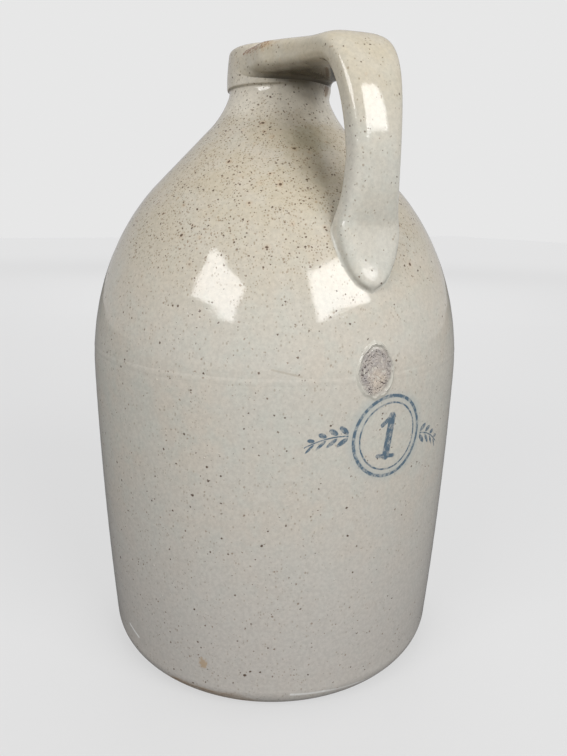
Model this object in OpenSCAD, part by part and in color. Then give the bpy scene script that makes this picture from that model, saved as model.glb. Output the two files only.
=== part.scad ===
// One-gallon stoneware jug: a jiggered body in two halves luted at a seam,
// a tooled mouth collar and a pulled strap handle pressed onto the dome.
// Millimetres, +Z up, the jug stands on z = 0, its axis is the Z axis and the handle lies along +X.

/* [Body] */
// Height of the jug, from the foot to the rim
jug_h = 285; // [235:1:330]
// Outer radius at the belly, the widest place
belly_r = 89; // [80:0.5:98]
// How far the wall draws in from the belly down to the heel
wall_taper = 4; // [0:0.25:9]
// Radius of the rounded heel
heel_r = 12.5; // [5:0.5:20]
// Thickness of the wall
wall_t = 8; // [6:0.25:10]
// Thickness of the bottom
floor_t = 9; // [7:0.5:12]
// Radius of the corner inside, between bottom and wall
inner_heel_r = 18; // [8:1:30]

/* [Foot] */
// Width of the flat foot ring that the jug stands on
foot_ring_w = 14; // [8:1:25]
// Depth of the hollow inside the foot ring
foot_hollow = 1.2; // [0.5:0.1:3]
// Width of the slope from the foot ring into the hollow
foot_slope_w = 5; // [2:0.5:10]

/* [Shoulder] */
// Rise of the dome's curve, from the belly to where it would close
dome_rise = 109.6; // [98:0.2:122]
// Slope of the straight shoulder above the dome, in degrees from upright
shoulder_angle = 45; // [41:0.5:49]
// Outer radius of the neck where it meets the collar
neck_r = 22.1; // [20.5:0.1:23.5]
// Radius of the hollow curve from the shoulder into the neck
neck_blend_r = 41; // [30:1:52]
// Slope of the neck under the collar, in degrees from upright
neck_angle = 17; // [8:0.5:24]
// Radius of the curve inside, from the shoulder into the throat
throat_blend_r = 20; // [10:1:30]

/* [Seam] */
// Height of the luted seam above the belly
seam_rise = 11.5; // [6:0.5:25]
// Thickness of the layer of slip between the two halves
lute_t = 1.2; // [0.6:0.1:2.5]
// Height of the low ridge that the slip leaves
ridge_h = 5; // [3.5:0.25:8]
// How far the ridge stands out on the outside
ridge_out = 0.25; // [0.1:0.05:1]
// How far the ridge stands in on the inside
ridge_in = 1.5; // [0.5:0.1:3]

/* [Mouth collar] */
// Height of the collar
collar_h = 16.6; // [13:0.1:20]
// Outer radius of the collar at its lower edge
collar_low_r = 23.9; // [23.6:0.1:27]
// Outer radius of the collar at the rim
collar_top_r = 22.9; // [20:0.1:26]
// Radius of the mouth, which takes the cork
bore_r = 13; // [11:0.1:14.5]
// Rounding of the rim on the outside
rim_round = 2.4; // [1:0.1:4]
// Rounding of the mouth at the rim
mouth_round = 1.6; // [0.8:0.1:3]
// Rounding of the collar's lower edge
collar_edge_round = 0.8; // [0.3:0.1:1.5]

/* [Strap handle] */
// Width of the strap where it grips the collar
root_w = 44; // [38:0.5:45]
// Thickness of the strap where it grips the collar
root_t = 12.4; // [10:0.2:15]
// How far the strap's root lies under the rim
root_drop = 1; // [0.5:0.1:2]
// Fall of the strap's middle from the collar to the bend
strap_fall = 1.1; // [0:0.1:2]
// Width of the strap where the bend begins
bend_w = 29.4; // [24:0.2:38]
// Thickness of the strap at the bend
bend_t = 11.2; // [8:0.2:13]
// Reach of the bend, outward from where it begins
bend_reach = 24; // [16:0.5:32]
// Drop of the bend, down to where the strap hangs
bend_drop = 33.8; // [26:0.2:42]
// Width of the strap at its narrowest, where the hand closes
waist_w = 20.4; // [17:0.2:27]
// Thickness of the strap at its narrowest
waist_t = 11.6; // [9:0.2:14]
// How far the strap leans in from the hand grip to its seat on the dome
strap_lean = 2.6; // [0:0.2:5]
// Width of the pad that is pressed onto the dome
pad_w = 29; // [24:0.5:36]
// Height of the pad over the dome at its upper end
pad_h = 7.8; // [6:0.2:11]
// Height of the pad over the dome at its tip
tip_h = 2.6; // [1.2:0.1:4]
// How far the tip was pressed off to the side
tip_skew = 2.4; // [0:0.2:4]
// How deep the pad is pressed into the clay before it is trimmed
pad_bed = 4; // [3:0.2:6]
// Place of the pad's upper end, as the angle on the dome's curve
seat_angle = 37; // [34:0.5:40]
// Place of the pad's tip, as the angle on the dome's curve
tip_angle = 23.6; // [22:0.2:27]

/* [Hidden] */
glaze = [0.80, 0.78, 0.71];
shoulder_glaze = [0.77, 0.73, 0.65];
slip_glaze = [0.72, 0.69, 0.62];

// Steps along each curve, and facets of a turned form
turn_facets = 180;
heel_steps = 10;
wall_steps = 14;
dome_steps = 34;
neck_steps = 12;
edge_steps = 6;
ridge_steps = 6;
run_steps = 9;
bend_steps = 12;
drop_steps = 14;
pad_steps = 13;
strap_facets = 28;

// Forms of the strap: how full its cross-section is at the collar, along the strap, under the pad
// and at the tip, how far its drop keeps straight at both ends, how pointed the pad's outline is,
// how soon the pad thins, where the drop begins to thicken into it, and where the outline ends
// short of a needle
root_power = 4.4;
section_power = 3.5;
bed_power = 5;
tip_power = 2.6;
drop_start_share = 0.75;
drop_end_share = 0.18;
pad_point_power = 0.56;
pad_thin_power = 2.2;
thicken_share = 0.3;
tip_cut_share = 0.985;
easing_passes = 20;
pad_kept_stations = 5;

// The dome is an ellipse that meets the straight shoulder and the neck's curve without a break,
// and the belly lies as far under the collar as these three need
collar_z = jug_h - collar_h;
blend_run = neck_blend_r * (cos(shoulder_angle) - cos(neck_angle));
blend_rise = neck_blend_r * (sin(shoulder_angle) - sin(neck_angle));
dome_reach = norm([belly_r, dome_rise * tan(shoulder_angle)]);
belly_z = collar_z - blend_rise - (dome_reach + blend_run - neck_r) / tan(shoulder_angle);
dome_end = atan(dome_rise / belly_r * tan(shoulder_angle));

// Heights and places that follow from the sizes
inner_floor_z = foot_hollow + floor_t;
foot_out_r = belly_r - wall_taper - heel_r;
foot_in_r = foot_out_r - foot_ring_w;
seam_z = belly_z + seam_rise;
lute_low = dome_angle(seam_z - lute_t / 2);
lute_high = dome_angle(seam_z + lute_t / 2);
ridge_low = dome_angle(seam_z - ridge_h / 2);
ridge_high = dome_angle(seam_z + ridge_h / 2);

function mix(a, b, share) = a + (b - a) * share;
function clamp(x) = min(1, max(0, x));
function ease(x) = x * x * (3 - 2 * x);
function polar(angle, radius) = radius * [cos(angle), sin(angle)];
function arc(centre, radius, from, to, steps) =
    [for (i = [0 : steps]) centre + polar(mix(from, to, i / steps), radius)];

// Dome: a place on its curve at an angle, moved out along its normal, and the angle at a height
function dome_normal(angle) =
    let (across = [cos(angle) / belly_r, sin(angle) / dome_rise]) across / norm(across);
function dome_point(angle, out = 0) =
    [belly_r * cos(angle), belly_z + dome_rise * sin(angle)] + out * dome_normal(angle);
function dome_angle(z) = asin((z - belly_z) / dome_rise);
function dome_arc(from, to, steps, out = 0) =
    [for (i = [0 : steps]) dome_point(mix(from, to, i / steps), out)];

// Lower wall: it swells from the heel to the belly and stands upright there
function wall_radius(z) =
    belly_r - wall_taper * pow((belly_z - z) / (belly_z - heel_r), 2);
function wall_line(low, high, steps, out = 0) =
    [for (i = [0 : steps]) let (z = mix(low, high, i / steps)) [wall_radius(z) + out, z]];

function reversed(list) = [for (i = [len(list) - 1 : -1 : 0]) list[i]];

// Inside of the bottom, up to the belly
function inner_heel() =
    let (r = wall_radius(inner_floor_z + inner_heel_r) - wall_t - inner_heel_r)
    arc([r, inner_floor_z + inner_heel_r], inner_heel_r, -90, 0, heel_steps);
function inner_wall() =
    wall_line(inner_floor_z + inner_heel_r, belly_z, wall_steps, -wall_t);

// Outside of the bottom and the wall, from the foot ring to the belly
function outer_heel() = arc([foot_out_r, heel_r], heel_r, -90, 0, heel_steps);
function outer_wall() = wall_line(heel_r, belly_z, wall_steps);

// Neck: its hollow curve outside, and the curve inside that runs into the throat
function neck_curve() =
    let (centre = [neck_r, collar_z] + polar(neck_angle, neck_blend_r))
    [for (p = arc([0, 0], neck_blend_r, shoulder_angle, neck_angle, neck_steps)) centre - p];
function throat_curve() =
    let (
        start = dome_point(dome_end, -wall_t),
        low_r = bore_r + throat_blend_r * (1 - cos(shoulder_angle)),
        low_z = start[1] + (start[0] - low_r) / tan(shoulder_angle),
        centre = [bore_r + throat_blend_r, low_z + throat_blend_r * sin(shoulder_angle)],
        last = asin(clamp((centre[1] - collar_z) / throat_blend_r))
    )
    [for (p = arc([0, 0], throat_blend_r, shoulder_angle, last, neck_steps)) centre - p];

// Strap: the middle line in its own plane as [distance from the axis, height], the width,
// the thickness, how flat its under side is, how full its section is and how far it lies off to
// the side, at each station from the collar to the tip
root_z = jug_h - root_drop - root_t / 2;
bend_z = root_z - strap_fall;
seat_point = dome_point(seat_angle, (pad_h - pad_bed) / 2);
seat_way = let (n = dome_normal(seat_angle)) [n[1], -n[0]];
drop_top = [seat_point[0] + strap_lean, bend_z - bend_drop];
drop_length = drop_top[1] - seat_point[1];
bend_x = drop_top[0] - bend_reach;

function run_stations() = [
    for (i = [0 : run_steps - 1])
    let (
        x = bend_x * i / run_steps,
        share = clamp((x - collar_top_r) / (bend_x - collar_top_r))
    )
    [
        x,
        mix(root_z, bend_z, ease(share)),
        mix(bend_w, root_w, pow(1 - share, 2)),
        mix(root_t, bend_t, share),
        0,
        mix(root_power, section_power, ease(share)),
        0
    ]
];
function bend_stations() = [
    for (i = [0 : bend_steps - 1])
    let (share = i / bend_steps, turn = 90 * (1 - share))
    [
        bend_x + bend_reach * cos(turn),
        drop_top[1] + bend_drop * sin(turn),
        mix(bend_w, waist_w, ease(share)),
        mix(bend_t, waist_t, share),
        0,
        section_power,
        0
    ]
];
function drop_curve(share) =
    let (
        rest = 1 - share,
        below = drop_top - [0, drop_start_share * drop_length],
        above = seat_point - drop_end_share * drop_length * seat_way
    )
    pow(rest, 3) * drop_top + 3 * share * pow(rest, 2) * below
        + 3 * pow(share, 2) * rest * above + pow(share, 3) * seat_point;
function drop_stations() = [
    for (i = [0 : drop_steps - 1])
    let (
        share = i / drop_steps,
        p = drop_curve(share),
        thicken = ease(clamp((share - thicken_share) / (1 - thicken_share)))
    )
    [
        p[0],
        p[1],
        mix(waist_w, pad_w, ease(share)),
        mix(waist_t, pad_h + pad_bed, thicken),
        thicken,
        section_power,
        0
    ]
];
function pad_stations() = [
    for (i = [0 : pad_steps])
    let (
        share = tip_cut_share * sin(90 * i / pad_steps),
        height = mix(tip_h, pad_h, pow(1 - share, pad_thin_power)),
        p = dome_point(mix(seat_angle, tip_angle, share), (height - pad_bed) / 2)
    )
    [
        p[0],
        p[1],
        pad_w * pow(1 - share * share, pad_point_power),
        height + pad_bed,
        1,
        mix(section_power, tip_power, share),
        tip_skew * share * share
    ]
];

// Eases the strap onto its pad by averaging each station with its neighbours, from the drop to
// the pad's tip
function eased(list, passes) =
    passes == 0 ? list : eased([
        for (i = [0 : len(list) - 1])
        i < run_steps + bend_steps || i >= len(list) - pad_kept_stations
            ? list[i]
            : (list[i - 1] + 2 * list[i] + list[i + 1]) / 4
    ], passes - 1);

// One ring of the strap: a full rounded oblong across the middle line, flatter below on the pad
function signed_power(x, power) = sign(x) * pow(abs(x), power);
function strap_ring(station, way) = [
    for (i = [0 : strap_facets - 1])
    let (
        angle = 360 * i / strap_facets,
        power = sin(angle) < 0 ? mix(station[5], bed_power, station[4]) : station[5],
        across = signed_power(cos(angle), 2 / power) * station[2] / 2,
        up = signed_power(sin(angle), 2 / power) * station[3] / 2
    )
    [station[0] - way[1] * up, across - station[6], station[1] + way[0] * up]
];
function way_at(list, i) =
    let (
        a = list[max(0, i - 1)],
        b = list[min(len(list) - 1, i + 1)],
        step = [b[0] - a[0], b[1] - a[1]]
    )
    step / norm(step);

// Closes a stack of rings into one solid
module skin(rings) {
    count = len(rings);
    facets = len(rings[0]);
    points = [for (ring = rings) each ring];
    sides = [
        for (i = [0 : count - 2], j = [0 : facets - 1])
        let (
            a = i * facets + j,
            b = i * facets + (j + 1) % facets
        )
        each [[a, b + facets, b], [a, a + facets, b + facets]]
    ];
    start = [[for (j = [0 : facets - 1]) j]];
    end = [[for (j = [facets - 1 : -1 : 0]) (count - 1) * facets + j]];
    polyhedron(points = points, faces = concat(sides, start, end), convexity = 6);
}

// Outer forms that the strap is trimmed to
module body_form() {
    rotate_extrude($fn = turn_facets)
        polygon(concat(
            [[0, belly_z]],
            [[belly_r, belly_z]],
            dome_arc(ridge_high, dome_end, dome_steps),
            neck_curve(),
            [[0, collar_z]]
        ));
}

module collar_form() {
    rotate_extrude($fn = turn_facets)
        polygon(concat([[0, collar_z]], collar_outline(), [[0, jug_h]]));
}

function collar_outline() = concat(
    arc([collar_low_r - collar_edge_round, collar_z + collar_edge_round],
        collar_edge_round, -90, 0, edge_steps),
    arc([collar_top_r - rim_round, jug_h - rim_round], rim_round, 0, 90, edge_steps)
);

module lower_body() {
    color(glaze)
        rotate_extrude($fn = turn_facets)
            polygon(concat(
                [[0, foot_hollow], [foot_in_r - foot_slope_w, foot_hollow], [foot_in_r, 0]],
                outer_heel(),
                outer_wall(),
                dome_arc(0, ridge_low, 2),
                [dome_point(lute_low), dome_point(lute_low, -wall_t)],
                reversed(dome_arc(0, ridge_low, 2, -wall_t)),
                reversed(inner_wall()),
                reversed(inner_heel()),
                [[0, inner_floor_z]]
            ));
}

module seam_lute() {
    color(slip_glaze)
        rotate_extrude($fn = turn_facets)
            polygon(concat(
                [dome_point(lute_low)],
                ridge(0, ridge_out),
                [dome_point(lute_high), dome_point(lute_high, -wall_t)],
                reversed(ridge(-wall_t, -ridge_in)),
                [dome_point(lute_low, -wall_t)]
            ));
}

// The ridge of slip over the seam, from its lower to its upper edge
function ridge(face, proud) = [
    for (i = [0 : ridge_steps])
    let (share = i / ridge_steps)
    dome_point(mix(ridge_low, ridge_high, share), face + proud * sin(180 * share))
];

module shoulder() {
    color(shoulder_glaze)
        rotate_extrude($fn = turn_facets)
            polygon(concat(
                [dome_point(lute_high)],
                dome_arc(ridge_high, dome_end, dome_steps),
                neck_curve(),
                reversed(throat_top()),
                reversed(throat_curve()),
                reversed(dome_arc(ridge_high, dome_end, dome_steps, -wall_t)),
                [dome_point(lute_high, -wall_t)]
            ));
}

// Where the throat's curve ends below the collar, the mouth's own width goes on up to it
function throat_top() =
    let (last = throat_curve()[neck_steps])
    last[1] < collar_z ? [[bore_r, collar_z]] : [];

module mouth_collar() {
    color(shoulder_glaze)
        rotate_extrude($fn = turn_facets)
            polygon(concat(
                [[bore_r, collar_z]],
                collar_outline(),
                arc([bore_r + mouth_round, jug_h - mouth_round], mouth_round, 90, 180, edge_steps)
            ));
}

module strap_handle() {
    stations = eased(
        concat(run_stations(), bend_stations(), drop_stations(), pad_stations()),
        easing_passes
    );
    color(glaze)
        difference() {
            skin([
                for (i = [0 : len(stations) - 1])
                strap_ring(stations[i], way_at(stations, i))
            ]);
            body_form();
            collar_form();
        }
}

lower_body();
seam_lute();
shoulder();
mouth_collar();
strap_handle();
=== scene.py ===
"""A one-gallon stoneware jug: a turned body in two halves, a tooled collar and a pulled strap handle.

Sizes are in millimetres until a mesh or a shader takes them, and in metres from there on. The jug stands on
z = 0, its axis is the Z axis and its handle lies along +X. Angles round the jug are measured from the handle.
"""
import logging
import math
from dataclasses import dataclass, field
from enum import Enum
from functools import reduce

import bmesh
import bpy
import numpy as np
from mathutils import Matrix, Vector, noise


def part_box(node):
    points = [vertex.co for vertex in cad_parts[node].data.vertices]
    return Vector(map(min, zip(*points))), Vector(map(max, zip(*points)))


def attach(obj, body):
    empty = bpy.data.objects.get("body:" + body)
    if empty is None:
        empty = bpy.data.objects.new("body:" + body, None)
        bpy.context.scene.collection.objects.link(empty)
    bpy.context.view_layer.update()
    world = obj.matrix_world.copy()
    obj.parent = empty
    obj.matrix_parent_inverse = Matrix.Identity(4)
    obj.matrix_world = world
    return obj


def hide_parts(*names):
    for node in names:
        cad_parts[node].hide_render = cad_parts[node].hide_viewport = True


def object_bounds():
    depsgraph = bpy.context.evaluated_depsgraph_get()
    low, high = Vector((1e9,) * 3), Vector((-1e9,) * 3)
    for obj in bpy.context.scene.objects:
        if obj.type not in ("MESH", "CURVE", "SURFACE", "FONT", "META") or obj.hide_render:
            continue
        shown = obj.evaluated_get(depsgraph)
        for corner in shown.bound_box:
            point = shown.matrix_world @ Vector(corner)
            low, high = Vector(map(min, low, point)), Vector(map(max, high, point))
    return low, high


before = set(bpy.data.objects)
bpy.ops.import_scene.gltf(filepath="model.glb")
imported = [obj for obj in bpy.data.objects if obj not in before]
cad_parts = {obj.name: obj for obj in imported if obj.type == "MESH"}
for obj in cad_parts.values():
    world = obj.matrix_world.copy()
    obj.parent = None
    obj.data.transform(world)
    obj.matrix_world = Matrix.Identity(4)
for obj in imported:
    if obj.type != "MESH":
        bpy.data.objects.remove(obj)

CAD_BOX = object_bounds()
MM = 0.001
BODY = "root"
LOG = logging.getLogger("stoneware_jug")

Colour = tuple[float, float, float]
Pair = tuple[float, float]
Numbers = float | np.ndarray
Socket = bpy.types.NodeSocket
Feed = Socket | float | int | bool | tuple | bpy.types.Material
FLOAT, VECTOR, WHOLE = "NodeSocketFloat", "NodeSocketVector", "NodeSocketInt"
GEOMETRY, MATERIAL = "NodeSocketGeometry", "NodeSocketMaterial"


class Slot(Enum):
    """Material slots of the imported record."""

    BODY = "body_glaze"
    SHOULDER = "shoulder_glaze"
    HANDLE = "handle_glaze"


def mix(a: Numbers, b: Numbers, share: Numbers) -> Numbers:
    """Returns the value at a share of the way from a to b."""
    return a + (b - a) * share


def ease(x: Numbers) -> Numbers:
    """Returns x from 0 to 1 with a level start and end."""
    return x * x * (3 - 2 * x)


def smooth(x: Numbers, low: float, high: float) -> Numbers:
    """Returns 0 under low, 1 over high and an eased value between them."""
    return ease(np.clip((x - low) / (high - low), 0.0, 1.0))


def arc(centre: Pair, radius: float, start: float, end: float, steps: int) -> np.ndarray:
    """Makes the points of an arc.

    Args:
        centre: Middle of the arc as distance from the axis and height.
        radius: Its radius.
        start: Angle in degrees of its first point.
        end: Angle in degrees of its last point.
        steps: Number of its chords.

    Returns:
        One row of distance and height for each point.
    """
    turn = np.radians(np.linspace(start, end, steps + 1))
    return np.stack([centre[0] + radius * np.cos(turn), centre[1] + radius * np.sin(turn)], axis=1)


def straight(a: Pair, b: Pair, steps: int) -> np.ndarray:
    """Returns the inner points of the line from a to b, cut into steps."""
    share = np.linspace(0, 1, steps + 1)[1:-1, None]
    return mix(np.array([a]), np.array([b]), share)


@dataclass(frozen=True)
class JugForm:
    """Sizes of the turned jug in millimetres, and the curves that follow from them."""

    height: float
    belly_radius: float
    wall_taper: float = 4.0
    heel_radius: float = 12.5
    wall: float = 8.0
    floor: float = 9.0
    inner_heel_radius: float = 18.0
    foot_ring: float = 14.0
    foot_hollow: float = 1.2
    foot_slope: float = 5.0
    dome_rise: float = 109.6
    shoulder_angle: float = 45.0
    neck_radius: float = 22.1
    neck_blend: float = 41.0
    neck_angle: float = 17.0
    neck_top: float = 3.4
    neck_fillet: float = 0.9
    neck_upright: float = 2.0
    throat_blend: float = 20.0
    seam_rise: float = 11.5
    lute: float = 1.2
    ridge_height: float = 5.0
    ridge_out: float = 0.15
    ridge_in: float = 1.5
    collar_height: float = 16.6
    collar_low: float = 23.9
    collar_top: float = 22.9
    bore: float = 13.0
    collar_draw_power: float = 2.4
    rim_round: float = 2.4
    mouth_round: float = 1.6
    collar_edge: float = 0.8

    @classmethod
    def from_frame(cls) -> "JugForm":
        """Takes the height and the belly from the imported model.

        Returns:
            The form with its other sizes as they are named here.
        """
        low, high = CAD_BOX
        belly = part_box("lower_body")[1][0]
        return cls(height=(high[2] - low[2]) / MM, belly_radius=belly / MM)

    @property
    def collar_z(self) -> float:
        """Height of the collar's lower edge."""
        return self.height - self.collar_height

    @property
    def belly_z(self) -> float:
        """Works out how far under the collar the belly has to lie for dome, shoulder and neck.

        Returns:
            The belly's height.
        """
        slope, last = math.radians(self.shoulder_angle), math.radians(self.neck_angle)
        run = self.neck_blend * (math.cos(slope) - math.cos(last))
        rise = self.neck_blend * (math.sin(slope) - math.sin(last))
        reach = math.hypot(self.belly_radius, self.dome_rise * math.tan(slope))
        return self.collar_z - rise - (reach + run - self.neck_radius) / math.tan(slope)

    @property
    def dome_end(self) -> float:
        """Angle in degrees on the dome where the straight shoulder begins."""
        slope = math.tan(math.radians(self.shoulder_angle))
        return math.degrees(math.atan(self.dome_rise / self.belly_radius * slope))

    @property
    def seam_z(self) -> float:
        """Height of the seam between the two halves."""
        return self.belly_z + self.seam_rise

    @property
    def inner_floor_z(self) -> float:
        """Height of the bottom's upper face."""
        return self.foot_hollow + self.floor

    def dome_normal(self, angle: Numbers) -> np.ndarray:
        """Finds the dome's outward normals.

        Args:
            angle: Angles on the dome in degrees, from the belly up.

        Returns:
            The parts of each normal away from the axis and up.
        """
        turn = np.radians(angle)
        across = np.stack([np.cos(turn) / self.belly_radius, np.sin(turn) / self.dome_rise], axis=-1)
        return across / np.linalg.norm(across, axis=-1, keepdims=True)

    def dome(self, angle: Numbers, out: Numbers = 0.0) -> np.ndarray:
        """Finds points on the dome or beside it.

        Args:
            angle: Angles on the dome in degrees, from the belly up.
            out: How far the points lie outside the dome.

        Returns:
            The distance from the axis and the height of each point.
        """
        turn = np.radians(angle)
        radius = self.belly_radius * np.cos(turn)
        on = np.stack([radius, self.belly_z + self.dome_rise * np.sin(turn)], axis=-1)
        return on + np.asarray(out)[..., None] * self.dome_normal(angle)

    def dome_angle(self, z: float) -> float:
        """Returns the angle in degrees at which the dome reaches a height."""
        return math.degrees(math.asin((z - self.belly_z) / self.dome_rise))

    def wall_radius(self, z: Numbers) -> Numbers:
        """Returns the outer radius of the lower wall at a height."""
        share = (self.belly_z - z) / (self.belly_z - self.heel_radius)
        return self.belly_radius - self.wall_taper * share ** 2

    def neck(self, steps: int) -> np.ndarray:
        """Draws the outside of the hollow neck, from the shoulder up to the collar.

        Args:
            steps: Number of its chords.

        Returns:
            One row of distance and height for each point.
        """
        turn = math.radians(self.neck_angle)
        centre = (self.neck_radius + self.neck_blend * math.cos(turn),
                  self.collar_z + self.neck_blend * math.sin(turn))
        return arc(centre, -self.neck_blend, self.shoulder_angle, self.neck_angle, steps)

    def neck_to_collar(self) -> np.ndarray:
        """Draws the neck with its upright top and the glaze that fills the corner under the collar.

        Returns:
            One row of distance and height for each point.
        """
        line = self.neck(60)
        line = line[line[:, 1] < self.collar_z - self.neck_top]
        step = line[-1] - line[-2]
        start = math.atan2(-step[0], step[1])
        last = math.radians(self.neck_upright)
        rise = self.collar_z - self.neck_fillet - line[-1][1]
        radius = rise / (math.sin(start) - math.sin(last))
        centre = line[-1] + radius * np.array([math.cos(start), math.sin(start)])
        top = arc(tuple(centre), -radius, math.degrees(start), self.neck_upright, 10)
        corner = (top[-1][0] + self.neck_fillet, top[-1][1])
        return np.concatenate([line[::2], top[1:], arc(corner, -self.neck_fillet, 0, -90, 8)[1:]])

    def collar_radius(self, z: Numbers) -> Numbers:
        """Returns the collar's outer radius at a height: upright below, drawn in towards the rim."""
        share = np.clip((z - self.collar_z) / (self.collar_height - self.rim_round), 0.0, 1.0)
        return mix(self.collar_low, self.collar_top, share ** self.collar_draw_power)

    def throat(self, steps: int) -> np.ndarray:
        """Draws the inside of the neck, from the straight shoulder up to the collar.

        Args:
            steps: Number of its chords.

        Returns:
            One row of distance and height for each point.
        """
        slope = math.radians(self.shoulder_angle)
        start = self.dome(self.dome_end, -self.wall)
        low_r = self.bore + self.throat_blend * (1 - math.cos(slope))
        low_z = start[1] + (start[0] - low_r) / math.tan(slope)
        middle_z = low_z + self.throat_blend * math.sin(slope)
        last = math.asin(min(1.0, max(0.0, (middle_z - self.collar_z) / self.throat_blend)))
        return arc((self.bore + self.throat_blend, middle_z), -self.throat_blend,
                   self.shoulder_angle, math.degrees(last), steps)

    def outside(self) -> np.ndarray:
        """Returns the outside of dome, shoulder and neck as one dense line, from the belly to the collar."""
        return np.concatenate([self.dome(np.linspace(0, self.dome_end, 400)), self.neck_to_collar()])

    def on_wall(self, angle: float, z: float) -> Vector:
        """Finds a place on the jug's outside.

        Args:
            angle: Its angle round the jug in degrees.
            z: Its height.

        Returns:
            The place in metres.
        """
        if z < self.heel_radius:
            foot_r = self.belly_radius - self.wall_taper - self.heel_radius
            radius = foot_r + math.sqrt(self.heel_radius ** 2 - (self.heel_radius - z) ** 2)
        elif z < self.belly_z:
            radius = float(self.wall_radius(z))
        else:
            line = self.outside()
            radius = float(np.interp(z, line[:, 1], line[:, 0]))
        turn = math.radians(angle)
        return Vector((radius * math.cos(turn), radius * math.sin(turn), z)) * MM


class Graph:
    """A node tree that is being built: each call adds a node, feeds its inputs and returns an output."""

    def __init__(self, tree: bpy.types.NodeTree) -> None:
        """Starts with a tree that may already hold nodes."""
        self.tree = tree

    def feed(self, socket: Socket, value: Feed) -> None:
        """Links a socket to another or sets its value.

        Args:
            socket: The input.
            value: The output or value that it gets.
        """
        if isinstance(value, bpy.types.NodeSocket):
            self.tree.links.new(value, socket)
        elif socket.type == "RGBA" and len(value) == 3:
            socket.default_value = (*value, 1.0)
        else:
            socket.default_value = value

    def node(self, kind: str, feeds: dict | None = None, **settings) -> bpy.types.Node:
        """Adds a node.

        Args:
            kind: Its type name.
            feeds: What goes into its inputs, by name or number.
            settings: Its properties.

        Returns:
            The new node.
        """
        made = self.tree.nodes.new(kind)
        for name, value in settings.items():
            setattr(made, name, value)
        for key, value in (feeds or {}).items():
            self.feed(made.inputs[key], value)
        return made

    def math(self, operation: str, *values: Feed, clamp: bool = False) -> Socket:
        """Returns the result of a Math node."""
        feeds = dict(enumerate(values))
        return self.node("ShaderNodeMath", feeds, operation=operation, use_clamp=clamp).outputs[0]

    def times(self, *values: Feed) -> Socket:
        """Returns the product of two or more values."""
        return reduce(lambda a, b: self.math("MULTIPLY", a, b), values)

    def plus(self, a: Feed, b: Feed) -> Socket:
        """Returns a + b."""
        return self.math("ADD", a, b)

    def minus(self, a: Feed, b: Feed) -> Socket:
        """Returns a - b."""
        return self.math("SUBTRACT", a, b)

    def over(self, a: Feed, b: Feed) -> Socket:
        """Returns a / b."""
        return self.math("DIVIDE", a, b)

    def larger(self, a: Feed, b: Feed) -> Socket:
        """Returns the larger of two values."""
        return self.math("MAXIMUM", a, b)

    def vector(self, operation: str, *values: Feed, out: int = 0) -> Socket:
        """Returns an output of a Vector Math node."""
        return self.node("ShaderNodeVectorMath", dict(enumerate(values)), operation=operation).outputs[out]

    def scaled(self, vector: Socket, factor: Feed) -> Socket:
        """Returns a vector times a number."""
        feeds = {"Vector": vector, "Scale": factor}
        return self.node("ShaderNodeVectorMath", feeds, operation="SCALE").outputs[0]

    def ramp(self, value: Feed, low: Feed, high: Feed, start: Feed = 0.0, end: Feed = 1.0) -> Socket:
        """Returns a smooth step of value, from start at low to end at high."""
        feeds = {"Value": value, "From Min": low, "From Max": high, "To Min": start, "To Max": end}
        return self.node("ShaderNodeMapRange", feeds, interpolation_type="SMOOTHSTEP").outputs[0]

    def blend(self, factor: Feed, a: Feed, b: Feed, kind: str = "MIX") -> Socket:
        """Mixes two colours.

        Args:
            factor: Share of the second.
            a: The first colour.
            b: The second colour.
            kind: How they are mixed.

        Returns:
            The mixed colour.
        """
        made = self.node("ShaderNodeMix", data_type="RGBA", blend_type=kind)
        self.feed(made.inputs["Factor"], factor)
        self.feed(made.inputs[6], a)
        self.feed(made.inputs[7], b)
        return made.outputs[2]

    def noise(self, vector: Socket, scale: Feed, detail: float = 2.0, rough: float = 0.5) -> Socket:
        """Returns the value of a Noise Texture."""
        feeds = {"Vector": vector, "Scale": scale, "Detail": detail, "Roughness": rough}
        return self.node("ShaderNodeTexNoise", feeds).outputs[0]

    def parts(self, vector: Socket) -> tuple[Socket, Socket, Socket]:
        """Returns the three numbers of a vector."""
        made = self.node("ShaderNodeSeparateXYZ", {0: vector})
        return made.outputs[0], made.outputs[1], made.outputs[2]

    def joined(self, x: Feed, y: Feed, z: Feed) -> Socket:
        """Returns a vector made of three numbers."""
        return self.node("ShaderNodeCombineXYZ", {0: x, 1: y, 2: z}).outputs[0]

    def group(self, tree: bpy.types.NodeTree, feeds: dict) -> bpy.types.Node:
        """Places a node group and feeds its inputs.

        Args:
            tree: The group.
            feeds: What goes into its inputs, by name.

        Returns:
            The group's node.
        """
        kind = "GeometryNodeGroup" if tree.bl_idname == "GeometryNodeTree" else "ShaderNodeGroup"
        made = self.tree.nodes.new(kind)
        made.node_tree = tree
        for key, value in feeds.items():
            self.feed(made.inputs[key], value)
        return made


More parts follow.
